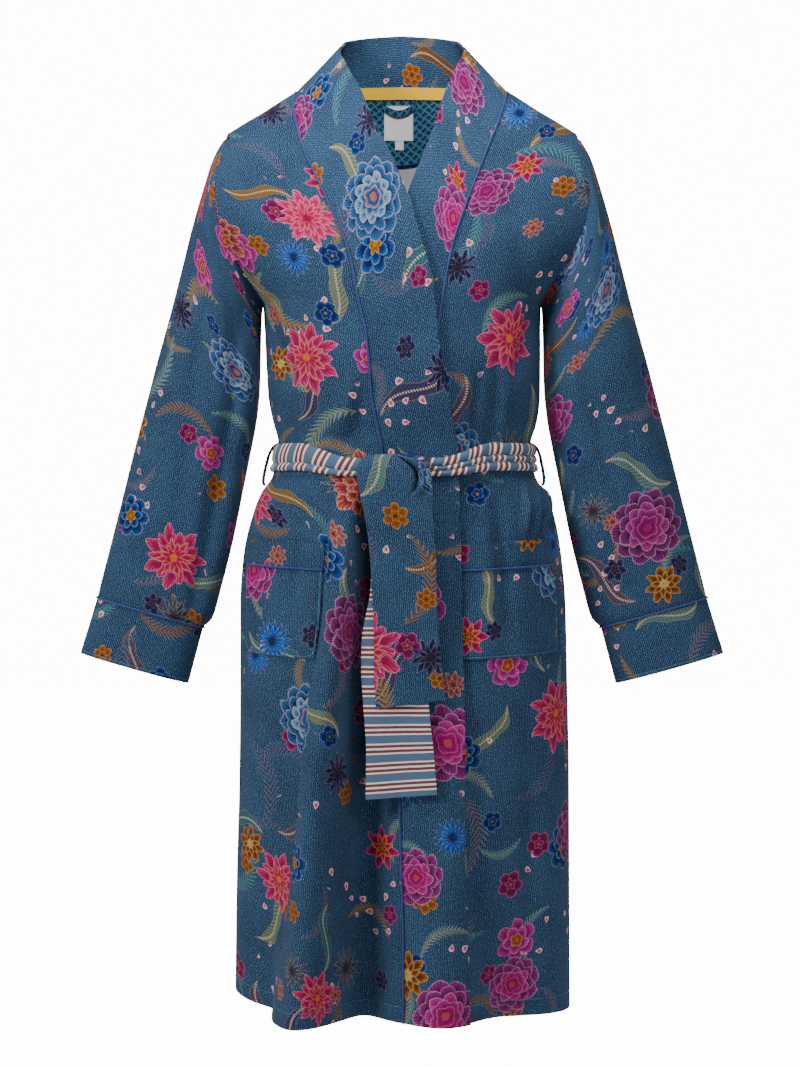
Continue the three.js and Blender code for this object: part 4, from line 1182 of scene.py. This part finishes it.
def build_leaf(place, kind, present, under):
    """A curling leaf with a pale edge, a midrib and rows of stitches"""
    tree = place.tree
    x, y, _ = split(place)
    bend = wave(y * 2.6) * 0.26
    off = x - bend
    width = maths(tree, "SUBTRACT", 1, y * y, clamped=True) * (wave(y * 9) * 0.035 + 0.21)
    inside = width - size_of(off)
    cover = ease(inside, 0, 0.02) * present
    ribs = wave((y + size_of(off) * 1.2) * 62) * 0.5 + 0.5
    hue = choice(kind, [shade(hue) for hue in LEAF_HUES[2:] + LEAF_HUES[:2]])
    colour = blend(ribs * 0.6, hue, shade((44, 38, 50)))
    beads = maths(tree, "GREATER_THAN", wave(y * 110), -0.1)
    colour = blend(ease(size_of(off), 0.02, 0.034, 1, 0) * beads, colour, shade((206, 192, 170)))
    colour = blend(ease(inside, 0.015, 0.04, 1, 0) * 0.55, colour, shade((160, 138, 104)))
    return blend(cover, under, colour)


def build_drops(place, kind, present, under):
    """Small cream and pink drops with a dark seed"""
    tree = place.tree
    x, y, _ = split(place)
    taper = maths(tree, "MULTIPLY_ADD", y, 0.45, 0.62)
    reach = length_of(joined(tree, x / taper, y * 1.1))
    cover = ease(reach, 0.86, 0.96, 1, 0) * present
    colour = blend(ease(reach, 0.3, 0.75), shade((206, 84, 124)), shade((236, 206, 206)))
    return blend(cover, under, colour)


SPRIG = motif_group("Sprig", build_sprig)
LEAF = motif_group("Leaf", build_leaf)
DROPS = motif_group("Drops", build_drops)


def build_weave(place, stroke_pitch, stroke_length, strength):
    """Staggered rows of short wavy strokes, and the fine loops of the jersey under them"""
    tree = place.tree
    x, y, _ = split(place)
    sway = wave(y * 1400) * 0.12 + noise(place, 70, 1) * 1.8
    across_strokes = x / stroke_pitch + sway
    stagger = maths(tree, "MODULO", maths(tree, "FLOOR", across_strokes), 2) * 0.5 + noise(place, 90, 0)
    column = fraction(across_strokes)
    along = fraction(y / stroke_length + stagger)
    stroke = ease(size_of(column - 0.5), 0.08, 0.3, 1, 0) * ease(size_of(along - 0.5), 0.3, 0.48, 1, 0)
    loops = wave(x * 5200) * wave(y * 4200)
    uneven = ease(noise(place, 520, 1), 0.35, 0.7)
    return stroke * strength * (uneven * 0.75 + 0.3), loops


WEAVE = group(
    "Jersey weave",
    dict(Place="vector", Pitch="value", Length="value", Strength="value"),
    dict(Strokes="value", Loops="value"),
    build_weave,
)


STROKE_PITCH = 0.0021
STROKE_LENGTH = 0.0036


STITCH_LENGTH = 0.0032
THREAD_HALF = (0.0003, 0.0007)
DIP_HALF = (0.0002, 0.002)


def build_stitches(edge):
    """A line of stitches where the edge map is 0: dashes, and the dip that they pull"""
    along, off, _ = split(edge)
    line = ease(size_of(off), *THREAD_HALF, 1, 0)
    dash = ease(size_of(fraction(along / STITCH_LENGTH) - 0.5), 0.3, 0.4, 1, 0)
    dip = ease(size_of(off), *DIP_HALF, 1, 0)
    return line * dash, dip


STITCHES = group("Stitches", dict(Edge="vector"), dict(Thread="value", Dip="value"), build_stitches)

# The layers of the print, from the lowest: motif, pitch, size (both in metres), seed and share of places
PRINT_LAYERS = [
    (SPRIG, 0.086, 0.033, 11.0, 0.66),
    (LEAF, 0.118, 0.046, 23.0, 0.62),
    (SPRIG, 0.128, 0.046, 37.0, 0.5),
    (DROPS, 0.0185, 0.0052, 53.0, 0.42),
    (SMALL_FLOWER, 0.074, 0.0135, 41.0, 0.62),
    (MEDIUM_FLOWER, 0.108, 0.0235, 67.0, 0.68),
    (LARGE_FLOWER, 0.146, 0.0375, 5.0, 0.74),
]


def build_print(place):
    """The blue ground and its scattered flowers and leaves"""
    tree = place.tree
    strokes, loops = use(tree, WEAVE, place, STROKE_PITCH, STROKE_LENGTH, 1.0)
    tone = noise(place, 16, 3)
    ground = blend(ease(tone, 0.3, 0.7), shade((24, 54, 88), 1), shade((38, 74, 108), 1))
    ground = blend(ease(noise(place, 420, 2, 0.7), 0.35, 0.65) * 0.6, ground, shade((10, 26, 54), 1))
    ground = blend(strokes * 0.72, ground, shade((124, 164, 192), 1))
    drop_clusters = ease(noise(place, 13, 0), 0.6, 0.64)
    colour = ground
    for motif, pitch, size, seed, share in PRINT_LAYERS:
        spot, kind, present = use(tree, SCATTER, place, pitch, size, seed, share)
        if motif is DROPS:
            present = present * drop_clusters
        (colour,) = use(tree, motif, spot, kind, present, colour)
    colour = blend(ease(noise(place, 640, 1), 0.42, 0.62) * 0.3, colour, shade((18, 16, 40)))
    colour = blend(loops * 0.07 + 0.04, colour, shade((12, 20, 40)))
    return colour, loops * 0.4 + noise(place, 900, 1)


FLORAL = group("Floral print", dict(Place="vector"), dict(Colour="colour", Height="value"), build_print)


# Materials


SPECULAR = 0.15
SHEEN_ROUGHNESS = 0.5
BUMP_STRENGTH = 0.8


def material(name, roughness, sheen, depth, build):
    """build(tree) gives the base colour and the bump's height, whose depth is in metres"""
    made = bpy.data.materials.new(name)
    made.use_nodes = True
    tree = made.node_tree
    shader = tree.nodes["Principled BSDF"]
    shader.inputs["Roughness"].default_value = roughness
    shader.inputs["Sheen Weight"].default_value = sheen
    shader.inputs["Sheen Roughness"].default_value = SHEEN_ROUGHNESS
    shader.inputs["Specular IOR Level"].default_value = SPECULAR
    colour, height = build(tree)
    feed(tree, shader.inputs["Base Color"], colour)
    bump = node(tree, "ShaderNodeBump", {"Height": height, "Distance": depth, "Strength": BUMP_STRENGTH})
    feed(tree, shader.inputs["Normal"], bump)
    return made


def map_of(tree, name):
    made = tree.nodes.new("ShaderNodeUVMap")
    made.uv_map = name
    return Value(tree, made.outputs[0])


def object_place(tree):
    return node(tree, "ShaderNodeTexCoord", output="Object")


def printed(tree):
    colour, height = use(tree, FLORAL, map_of(tree, "cut"))
    thread, dip = use(tree, STITCHES, map_of(tree, "edge"))
    # painted shade: the printed cloth is darkened along the dip that the stitches pull, as shade in that
    # groove
    colour = blend(dip * 0.35, colour, shade((14, 34, 60)))
    colour = blend(thread * 0.7, colour, shade((96, 140, 168)))
    return colour, height - dip * 5 + thread * 2


def reversed_cloth(tree):
    place = map_of(tree, "cut")
    _, loops = use(tree, WEAVE, place, STROKE_PITCH, STROKE_LENGTH, 1.0)
    colour = blend(noise(place, 240, 3), shade((176, 176, 188)), shade((208, 203, 212)))
    return blend(loops * 0.06 + 0.06, colour, shade((90, 100, 130))), loops


STRIPE_REPEAT = 0.0212
STRIPE_EDGES = table("start hue", [
    (0, (250, 240, 236)), (0.09, (126, 72, 66)), (0.235, (250, 240, 236)), (0.35, (126, 72, 66)),
    (0.495, (250, 240, 236)), (0.585, (92, 116, 142)),
])


def striped(tree):
    place = map_of(tree, "cut")
    _, v, _ = split(place)
    _, loops = use(tree, WEAVE, place, STROKE_PITCH, STROKE_LENGTH, 1.0)
    uneven = (noise(place, 90, 2) - 0.5) * 0.03
    starts = [stripe["start"] for stripe in STRIPE_EDGES]
    hues = [shade(stripe["hue"], 1) for stripe in STRIPE_EDGES]
    colour = bands(fraction(v / STRIPE_REPEAT + uneven), starts, hues)
    colour = blend(noise(place, 700, 2) * 0.2, colour, shade((60, 66, 96)))
    colour = blend(loops * 0.08 + 0.04, colour, shade((30, 30, 50)))
    return colour, loops + noise(place, 900, 1)


def piping(tree):
    place = object_place(tree)
    x, _, z = split(place)
    twill = wave((x + z) * 4200) * 0.5 + 0.5
    colour = blend(twill * 0.4, shade((54, 70, 132), 1), shade((32, 42, 90), 1))
    return blend(noise(place, 300, 2) * 0.25, colour, shade((104, 118, 170), 1)), twill


LATTICE_CELL = dict(across=0.0105, down=0.01)
LATTICE_SWAY = 0.07
FACING_BINDING = (0.0028, 0.0034)


def lattice(tree):
    """Rows of ogee cells with a rounded hexagon in each"""
    place = map_of(tree, "cut")
    x, y, _ = split(place)
    down_cell = y / LATTICE_CELL["down"]
    across_cell = x / LATTICE_CELL["across"] + wave(down_cell * math.tau) * LATTICE_SWAY
    first = wave((across_cell + down_cell) * math.pi)
    second = wave((across_cell - down_cell) * math.pi)
    line = ease(maths(tree, "MINIMUM", size_of(first), size_of(second)), 0.36, 0.66, 1, 0)
    cell = ease(size_of(first * second), 0.74, 0.88)
    colour = blend(line, shade((8, 30, 56), 1), shade((70, 116, 144), 1))
    colour = blend(cell * 0.8, colour, shade((22, 82, 110), 1))
    _, off, _ = split(map_of(tree, "edge"))
    colour = blend(ease(off, *FACING_BINDING, 1, 0), colour, shade((22, 30, 66)))
    weave = wave(x * 9000) * wave(y * 9000)
    return colour, weave * 0.3 + line


def ribbed(tree):
    x, y, _ = split(map_of(tree, "cut"))
    ribs = wave((x + y) * 5200) * 0.5 + 0.5
    return blend(ribs * 0.3, shade((248, 196, 52), 1), shade((208, 152, 30), 1)), ribs


def satin(tree):
    _, y, _ = split(map_of(tree, "cut"))
    thread, dip = use(tree, STITCHES, map_of(tree, "edge"))
    weave = wave(y * 14000)
    colour = blend(weave * 0.03 + 0.03, shade((255, 255, 255), 1), shade((224, 224, 228), 1))
    return blend(thread * 0.4, colour, shade((188, 186, 190), 1)), weave * 0.1 - dip * 3


PRINT = material("Printed jersey", 0.85, 0.04, 0.00013, printed)
REVERSE = material("Reverse of the jersey", 0.9, 0.04, 0.00007, reversed_cloth)
STRIPES = material("Striped jersey", 0.85, 0.04, 0.0001, striped)
PIPING = material("Piping", 0.6, 0.1, 0.00012, piping)
FACING_CLOTH = material("Lattice cotton", 0.8, 0.05, 0.00005, lattice)
TAPE_CLOTH = material("Yellow tape", 0.75, 0.05, 0.0001, ribbed)
SATIN = material("White satin", 0.5, 0.0, 0.00002, satin)


# Cloth pieces

# Points closer than this merge where a cloth closes on itself
MERGED = 0.00001
SMOOTH_BELOW = math.radians(50)
CORD_RESOLUTION = 3


def finish_piece(piece, nodes):
    for solid in nodes:
        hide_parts(solid)
    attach(piece, "root")


def named(name):
    piece = bpy.context.object
    piece.name = name
    piece.data.name = name
    return piece


def arc_lengths(points):
    lengths = [0]
    for a, b in zip(points, points[1:]):
        lengths.append(lengths[-1] + (b - a).length)
    return lengths


def apply_modifiers(piece):
    bpy.context.view_layer.objects.active = piece
    for modifier in list(piece.modifiers):
        bpy.ops.object.modifier_apply(modifier=modifier.name)


def cloth(
    name, rows, thickness, finish, *, within=Vector((0, 0, 0)), reverse=None,
    closed=False, stitch=None, start=(0, 0), seat=0, skew=None, nodes=None, turned_edge=False,
):
    """A wall of cloth: a grid's points are laid on rows of places of its outer face, thickness inwards.
    Its map "cut" holds each point's place on the flat cut, and its map "edge" the distance to the
    line of stitches."""
    count = len(rows)
    width = len(rows[0])
    bpy.ops.mesh.primitive_grid_add(x_subdivisions=width - 1, y_subdivisions=count - 1, size=1)
    piece = named(f"{name}_cloth")
    mesh = piece.data
    mesh.vertices.foreach_set("co", [c * MM for row in rows for point in row for c in point])
    mesh.update()
    outward = 0
    for face in mesh.polygons:
        centre = face.center - within * MM
        centre.z = 0 if within.z == 0 else centre.z
        outward += centre.dot(face.normal) * face.area
    if outward < 0:
        mesh.flip_normals()
    across_row = [arc_lengths(row) for row in rows]
    down = arc_lengths([row[seat] for row in rows])
    cut = []
    for i in range(count):
        for j in range(width):
            u = across_row[i][j] - across_row[i][seat]
            v = down[i]
            if skew:
                du, dv = skew(i, j)
                u += du
                v += dv
            cut.append((u * MM + start[0], v * MM + start[1]))
    edge = [(0, 1)] * (count * width)
    if stitch:
        edge = [(cut[i * width + j][0], stitch(i, j) * MM) for i in range(count) for j in range(width)]
    mesh.uv_layers[0].name = "cut"
    mesh.uv_layers.new(name="edge")
    for layer, places in (("cut", cut), ("edge", edge)):
        for loop in mesh.loops:
            mesh.uv_layers[layer].data[loop.index].uv = places[loop.vertex_index]
    if closed:
        bpy.ops.object.mode_set(mode="EDIT")
        bpy.ops.mesh.select_all(action="SELECT")
        bpy.ops.mesh.remove_doubles(threshold=MERGED)
        bpy.ops.object.mode_set(mode="OBJECT")
    mesh.materials.append(finish)
    mesh.materials.append(reverse or finish)
    bpy.ops.object.modifier_add(type="SOLIDIFY")
    wall = piece.modifiers[-1]
    wall.thickness = thickness * MM
    wall.offset = -1
    wall.material_offset = 1
    wall.material_offset_rim = 1 if turned_edge else 0
    apply_modifiers(piece)
    bpy.ops.object.shade_smooth_by_angle(angle=SMOOTH_BELOW)
    piece.select_set(False)
    finish_piece(piece, nodes or [name])
    longest = (max(row[-1] for row in across_row), max(arc_lengths(column)[-1] for column in zip(*rows)))
    return piece


def cord(name, spots, radius, finish, cyclic=False, nodes=None):
    """A round cord along spots, with closed ends"""
    bpy.ops.curve.primitive_nurbs_path_add()
    piece = named(name)
    curve = piece.data
    curve.splines.clear()
    spline = curve.splines.new("POLY")
    spline.points.add(len(spots) - 1)
    for point, spot in zip(spline.points, spots):
        point.co = (*(spot * MM), 1)
    spline.use_cyclic_u = cyclic
    curve.bevel_depth = radius * MM
    curve.bevel_resolution = CORD_RESOLUTION
    curve.use_fill_caps = True
    bpy.ops.object.convert(target="MESH")
    piece = named(f"{name}_cord")
    piece.data.materials.clear()
    piece.data.materials.append(finish)
    bpy.ops.object.shade_smooth_by_angle(angle=SMOOTH_BELOW)
    piece.select_set(False)
    finish_piece(piece, nodes or [name])
    return piece


def moved(spot, distance):
    point, normal = spot
    return point + normal * distance


for side, word in WORD.items():
    rows = front_panel(side)
    heights = finer(front_rows)
    cloth(
        f"body_front_{word}", rows, CLOTH, PRINT, reverse=REVERSE, seat=len(rows[0]) - 1,
        start=CUT_START[f"body_front_{word}"],
        stitch=lambda i, j: heights[i] - HEM_Z - HEM_STITCH,
    )
    shares = finer(BAND_COLUMNS, BAND_FINER)
    band = band_rows(side, shares)
    cloth(
        f"neck_band_{word}", band, DOUBLE_CLOTH, PRINT,
        start=CUT_START[f"neck_band_{word}"],
        stitch=lambda i, j: arc_lengths(band[i])[-1] * shares[j] - BAND_STITCH,
    )
    below_neck = [place for place in front_stations if place[0] < -STATION_STEP]
    spots = [moved(band_spot(side, *place, 0), PIPING_HEIGHT) for place in below_neck]
    cord(f"band_piping_{word}", spots, PIPING_RADIUS, PIPING)

    rows = sleeve_rows(side)
    middle = sleeve_centre(side, WRIST_RING / 2)
    cloth(
        f"sleeve_{word}", rows, CLOTH, PRINT, reverse=REVERSE, within=middle, closed=True,
        start=CUT_START[f"sleeve_{word}"],
    )
    shares = finer([0, 0.5, 1])
    rows = cuff_rows(side, shares)
    cuff_length = CUFF_DROP.length
    middle_row = rows[len(rows) // 2]
    middle = middle_row[0].lerp(middle_row[len(middle_row) // 2], 0.5)
    cloth(
        f"cuff_{word}", rows, DOUBLE_CLOTH, PRINT, within=middle,
        closed=True, start=CUT_START[f"cuff_{word}"],
        stitch=lambda i, j: cuff_length * (1 - shares[i]) - CUFF_STITCH,
    )
    centre = sleeve_centre(side, WRIST_RING)
    above = Vector((0, 0, HALF_SEAM))
    spots = [point + (point - centre).normalized() * (PIPING_HEIGHT - SEAM) + above for point in rows[0][:-1]]
    cord(f"cuff_piping_{word}", spots, PIPING_RADIUS, PIPING, cyclic=True)

rows = back_panel()
heights = finer(back_rows)
cloth(
    "body_back", rows, CLOTH, PRINT, reverse=REVERSE, seat=BACK_HALF_COLUMNS * FINER,
    start=CUT_START["body_back"],
    stitch=lambda i, j: heights[i] - HEM_Z - HEM_STITCH,
)


# Pockets, laid on their front


def pocket_spots(side, heights):
    first, last = POCKET_COLUMNS[side]
    return [
        [form_spot(turn, z, lifts[side]) for turn in front_turns(side, z)[first * FINER : last * FINER + 1]]
        for z in heights
    ]


pocket_heights = [z for z in front_rows if POCKET["bottom"] <= z <= POCKET["top"]]
for side, word in WORD.items():
    top = finer([z for z in pocket_heights if z >= POCKET["piping"]], POCKET_BAND_FINER)
    below = finer([z for z in pocket_heights if z <= POCKET["piping"]])
    rows = []
    for i, spots in enumerate(pocket_spots(side, top)):
        width = len(spots) - 1
        share = i / (len(top) - 1)
        rows.append([
            moved(spot, SEAM + POCKET_CLOTH + POCKET["gape"] * math.sin(math.pi * j / width) * (1 - share))
            for j, spot in enumerate(spots)
        ])
    for point in rows[-1]:
        point.z += HALF_SEAM
    cloth(
        f"pocket_band_{word}", rows, POCKET_CLOTH, PRINT,
        start=CUT_START[f"pocket_band_{word}"],
    )
    rows = [[moved(spot, SEAM + POCKET_CLOTH) for spot in spots] for spots in pocket_spots(side, below)]
    for point in rows[0]:
        point.z -= HALF_SEAM
    width = len(rows[0]) - 1
    reach = dict(across=arc_lengths(rows[0])[-1], down=arc_lengths([row[0] for row in rows])[-1])
    cloth(
        f"pocket_{word}", rows, POCKET_CLOTH, PRINT,
        start=CUT_START[f"pocket_{word}"],
        stitch=lambda i, j: min(
            reach["across"] * min(j / width, 1 - j / width), reach["down"] * (1 - i / (len(below) - 1))
        ) - POCKET_STITCH,
    )
    (line,) = pocket_spots(side, [POCKET["piping"]])
    spots = [moved(spot, SEAM + POCKET_CLOTH + PIPING_HEIGHT) for spot in line]
    cord(f"pocket_piping_{word}", spots, PIPING_RADIUS, PIPING)


# Inside the back neck

FACING_DEPTH = CLOTH + FACING["gap"]
LABEL_DEPTH = FACING_DEPTH + FACING["thickness"] + FACING["gap"]
HANGER_DEPTH = LABEL_DEPTH + LABEL_THICKNESS + 2 * FACING["gap"]
HANGER_END_DEPTH = FACING_DEPTH + FACING["thickness"] + SEAM


def inside_back(x, z, depth):
    return form_point(turn_at(x, z, "back"), z, lambda x, z: -depth)


def facing_drop(x):
    return FACING["depth"] * math.sqrt(1 - (x / FACING["half_width"]) ** 2)


columns = FACING_STEPS["across"]
depth_steps = FACING_STEPS["down"]
spans = [mix(-FACING["half_span"], FACING["half_span"], k / columns) for k in range(columns + 1)]
rows = [
    [inside_back(x, FACING["top"] - facing_drop(x) * k / depth_steps, FACING_DEPTH) for x in spans]
    for k in range(depth_steps + 1)
]
cloth(
    "neck_facing", rows, FACING["thickness"], FACING_CLOTH,
    stitch=lambda i, j: arc_lengths([row[j] for row in rows])[-1] * (1 - i / depth_steps),
    reverse=FACING_CLOTH, seat=columns // 2,
)

tape_shares = [0, BAND_COLUMNS[1]]
places = [place for place in neck_stations if place[0] >= TAPE["start"]]
inwards = -DOUBLE_CLOTH - FACING["gap"]
strips = {
    side: [[moved(band_spot(side, *place, share), inwards) for share in tape_shares] for place in places]
    for side in WORD
}
rows = strips[RIGHT] + strips[LEFT][::-1][1:]
for row in rows:
    row[0].z -= TAPE["overhang"]
cloth("neck_tape", rows, TAPE["thickness"], TAPE_CLOTH)


def patch(name, place, finish):
    width = place["width"]
    height = place["top"] - place["bottom"]
    spans = [place["x"] + width * (k / PATCH_STEPS - 0.5) for k in range(PATCH_STEPS + 1)]
    down = [mix(place["top"], place["bottom"], k / PATCH_STEPS) for k in range(PATCH_STEPS + 1)]
    rows = [[inside_back(x, z, LABEL_DEPTH) for x in spans] for z in down]

    def stitch(i, j):
        nearest = min(width * min(j, PATCH_STEPS - j), height * min(i, PATCH_STEPS - i))
        return nearest / PATCH_STEPS - LABEL_STITCH

    cloth(
        name, rows, LABEL_THICKNESS, finish, reverse=finish, stitch=stitch,
    )


patch("label", LABEL, SATIN)
patch("size_tab", SIZE_TAB, SATIN)

rows = []
for k in range(HANGER_STEPS["along"] + 1):
    share = k / HANGER_STEPS["along"]
    x = HANGER["x"] + mix(-HANGER["half_width"], HANGER["half_width"], share)
    top = HANGER["top"] - HANGER["sag"] * math.sin(math.pi * share) ** HANGER["bow"]
    depth = mix(HANGER_END_DEPTH, HANGER_DEPTH, smoothstep(0, HANGER["fixed"], min(share, 1 - share)))
    parts = HANGER_STEPS["down"]
    rows.append([inside_back(x, top - HANGER["height"] * step / parts, depth) for step in range(parts + 1)])
cloth(
    "hanger_loop", rows, HANGER["thickness"], FACING_CLOTH,
    reverse=FACING_CLOTH,
)


# Belt


def belt_lift(x):
    on_top = smoothstep(*LAP_X, x)
    return BELT["gap"] + LAP * on_top * (1 - smoothstep(*BELT_STEP_DOWN, x))


def pleat_bulge(up, folds):
    """How far the belt's outer face stands out, from 0 at a fold to 1 on a roll, and which roll it is"""
    stops = [-1, *folds, 1]
    for low, high in zip(stops, stops[1:]):
        if up <= high:
            return math.sin(math.pi * clamp((up - low) / (high - low))) ** BELT_ROUNDNESS, stops.index(low)
    return 0, len(folds)


def belt_stretch(name, start, end, steps, folds):
    """A stretch of the belt, gathered into rolls that lie along it"""
    ups = [mix(1, -1, k / BELT_STEPS) for k in range(BELT_STEPS + 1)]
    rows = []
    for k in range(steps + 1):
        turn = mix(start, end, k / steps)
        front = math.cos(turn) >= 0
        x = form_point(turn, BELT["side_z"]).x
        near = smoothstep(BELT_PINCH["starts"], BELT_PINCH["full"], abs(x - BELT_PINCH["x"])) if front else 0
        z = mix(BELT["side_z"], BELT["knot_z"], near)
        height = BELT["half_height"] * mix(1, BELT["knot_pinch"], near)
        lift = belt_lift(x) if front else BELT["gap"]
        row = []
        for up in ups:
            out = mix(BELT["fold"], BELT["thickness"], pleat_bulge(up, folds)[0])
            row.append(form_point(turn, z + up * height, lambda x, z: lift + out))
        rows.append(row)
    along = arc_lengths([row[0] for row in rows])

    def skew(i, j):
        _, roll = pleat_bulge(ups[j], folds)
        return 0, (BELT_PULL - 1) * along[i] + STRIPE_SLANT * ups[j] + STRIPE_STEP * roll

    cloth(
        name, rows, BELT["cloth"], STRIPES,
        start=(0, STRIPE_START[name]), skew=skew,
    )


under_knot = {side: turn_at(KNOT_EDGE[side] - side * KNOT_COVER, BELT["side_z"]) for side in WORD}
BELT_STRETCHES = table("name start end steps folds", [
    ("belt_waist_right", -QUARTER + BELT_JOIN, under_knot[RIGHT], 64, (-0.42,)),
    ("belt_waist_left", under_knot[LEFT], QUARTER - BELT_JOIN, 72, (-0.36, 0.12)),
    ("belt_waist_back", QUARTER + BELT_JOIN, 3 * QUARTER - BELT_JOIN, 120, (-0.3, 0.25)),
])
for stretch in BELT_STRETCHES:
    belt_stretch(*stretch.values())


def arriving(between, z):
    return smoothstep(*between, z)


def loop_push(off, z):
    """How far the fold of the wrap that loops over stands proud of it, at a distance off its crease"""
    held = arriving(LOOP_FOOT, z) * arriving(LOOP_HEAD, z)
    roll = LOOP_ROLL["rise"] * bell(off - LOOP_ROLL["off"], LOOP_ROLL["width"]) * (off > 0)
    return held * (roll - LOOP_GROOVE["dip"] * bell(off, LOOP_GROOVE["width"]))


def knot_and_front_tail():
    """The wrap of the knot and the tail that falls from it, one cloth. The wrap rolls back at its top
    and sides, and a fold of it loops over on the wearer's left."""
    values = [profile(WRAP, "z", column) for column in ("right", "left", "y", "curl", "dip")]
    rows = []
    for z in finer([row["z"] for row in WRAP], KNOT_FINER):
        right, left, y, curl, dip = (value(z) for value in values)
        ripple_in = arriving(FRONT_RIPPLE["between"], z)
        slant = FRONT_SLANT["rise"] * arriving(FRONT_SLANT["between"], z)
        row = []
        for k in range(2 * KNOT_HALF_COLUMNS + 1):
            s = k / KNOT_HALF_COLUMNS - 1
            x = mix(right, left, (1 + s) / 2)
            ripple = FRONT_RIPPLE["depth"] * math.sin(FRONT_RIPPLE["across"] * s + z / FRONT_RIPPLE["down"])
            front = y - loop_push(x - loop_x(z), z) - ripple * ripple_in
            rolled = curl * abs(s) ** EDGE_ROLL_SHARPNESS
            row.append(Vector((x, front + rolled, z - dip * s * s + slant * s)))
        rows.append(row)
    cloth(
        "belt_knot", rows, TAIL_THICKNESS, PRINT,
        reverse=STRIPES, turned_edge=True, start=CUT_START["belt_tail_front"], seat=KNOT_HALF_COLUMNS,
        nodes=["belt_knot", "belt_tail_front"],
    )


def back_tail():
    values = [profile(BACK_TAIL, "z", column) for column in ("right", "left", "y")]
    rows = []
    for z in finer([row["z"] for row in BACK_TAIL], BACK_TAIL_FINER):
        right, left, y = (value(z) for value in values)
        ripple_in = arriving(BACK_RIPPLE["between"], z)
        slant = BACK_SLANT["rise"] * arriving(BACK_SLANT["between"], z)
        row = []
        for k in range(TAIL_COLUMNS + 1):
            share = k / TAIL_COLUMNS
            ripple = BACK_RIPPLE["depth"] * math.sin(BACK_RIPPLE["across"] * share + BACK_RIPPLE["start"])
            back = y - TAIL_THICKNESS - ripple * ripple_in
            row.append(Vector((mix(right, left, share), back, z + slant * (2 * share - 1))))
        rows.append(row)
    cloth(
        "belt_tail_back", rows, TAIL_THICKNESS, STRIPES,
        reverse=PRINT, start=(0, STRIPE_START["belt_tail_back"]),
    )


loop_x = smooth_curve(*zip(*sorted((row["z"], row["x"]) for row in LOOP_CREASE)))
knot_and_front_tail()
back_tail()

# Belt loops: oval straps that stand off the side seams

strap_off = profile(STRAP, "z", "off")
strap_turns = [math.tau * step / STRAP_STEPS["around"] for step in range(STRAP_STEPS["around"] + 1)]
for side, word in WORD.items():
    rows = []
    for k in range(STRAP_STEPS["along"] + 1):
        z = mix(STRAP[0]["z"], STRAP[-1]["z"], k / STRAP_STEPS["along"])
        centre = side_width[side](z) + strap_off(z)
        height = form_point(side * QUARTER, z).z
        row = []
        for turn in strap_turns:
            x = side * (centre + STRAP_HALF["x"] * math.cos(turn))
            row.append(Vector((x, STRAP_HALF["y"] * math.sin(turn), height)))
        rows.append(row)
    cloth(
        f"belt_loop_{word}", rows, STRAP_CLOTH, PRINT, closed=True,
        start=CUT_START["belt_loop"], within=Vector((side * side_width[side](BELT["side_z"]), 0, 0)),
    )


# Floor, camera and lights, in metres

FLOOR_Z = -1.11
FLOOR_SIZE = 14
FLOOR_STEPS = 8
BACKDROP_WHITE = 14
AMBIENT = 0.13
bpy.ops.mesh.primitive_grid_add(
    x_subdivisions=FLOOR_STEPS, y_subdivisions=FLOOR_STEPS, size=FLOOR_SIZE, location=(0, 0, FLOOR_Z),
)
floor = named("floor")
bpy.ops.object.transform_apply(location=True)
floor.data.materials.append(bpy.data.materials.new("Pale floor"))
paper = floor.data.materials[0]
paper.use_nodes = True
paper_shader = paper.node_tree.nodes["Principled BSDF"]
paper_shader.inputs["Roughness"].default_value = 0.9
paper_shader.inputs["Base Color"].default_value = (0.93, 0.93, 0.93, 1)
paper_shader.inputs["Emission Color"].default_value = (1, 1, 1, 1)
seen_floor = node(paper.node_tree, "ShaderNodeLightPath")
feed(paper.node_tree, paper_shader.inputs["Emission Strength"], seen_floor * BACKDROP_WHITE)
floor.select_set(False)

CAMERA_PLACE = (-0.0023, -2.872, -0.504)
LENS = 85
SENSOR = 36

bpy.ops.object.camera_add(location=CAMERA_PLACE, rotation=(QUARTER, 0, 0))
camera = bpy.context.object
camera.data.lens = LENS
camera.data.sensor_width = SENSOR
camera.data.sensor_fit = "AUTO"
bpy.context.scene.camera = camera
camera.select_set(False)

LIGHTS = table("name place aim size power hue", [
    ("key", (-1.9, -1.6, 0.8), (0, 0, -0.35), 0.6, 50, (1, 0.985, 0.96)),
    ("fill", (2.2, -1.8, 0.5), (0, 0, -0.4), 1.2, 16, (0.97, 0.98, 1)),
    ("top", (0, -0.4, 2.0), (0, 0, -0.3), 1.4, 14, (1, 1, 1)),
    ("back", (0.3, 2.6, 0.5), (0, 0, -0.4), 1.2, 30, (1, 1, 1)),
    ("collar", (0, -0.5, 0.36), (0, 0.05, -0.03), 0.12, 4.2, (1, 1, 1)),
])
for light in LIGHTS:
    place = Vector(light["place"])
    aim = (Vector(light["aim"]) - place).to_track_quat("-Z", "Y").to_euler()
    bpy.ops.object.light_add(type="AREA", location=place, rotation=aim)
    lamp = named(light["name"])
    lamp.data.size = light["size"]
    lamp.data.energy = light["power"]
    lamp.data.color = light["hue"]
    lamp.select_set(False)

world = bpy.data.worlds.new("Studio")
world.use_nodes = True
sky = world.node_tree
seen = node(sky, "ShaderNodeLightPath")
backdrop = sky.nodes["Background"]
backdrop.inputs["Color"].default_value = (1, 1, 1, 1)
feed(sky, backdrop.inputs["Strength"], seen * (BACKDROP_WHITE - AMBIENT) + AMBIENT)
bpy.context.scene.world = world
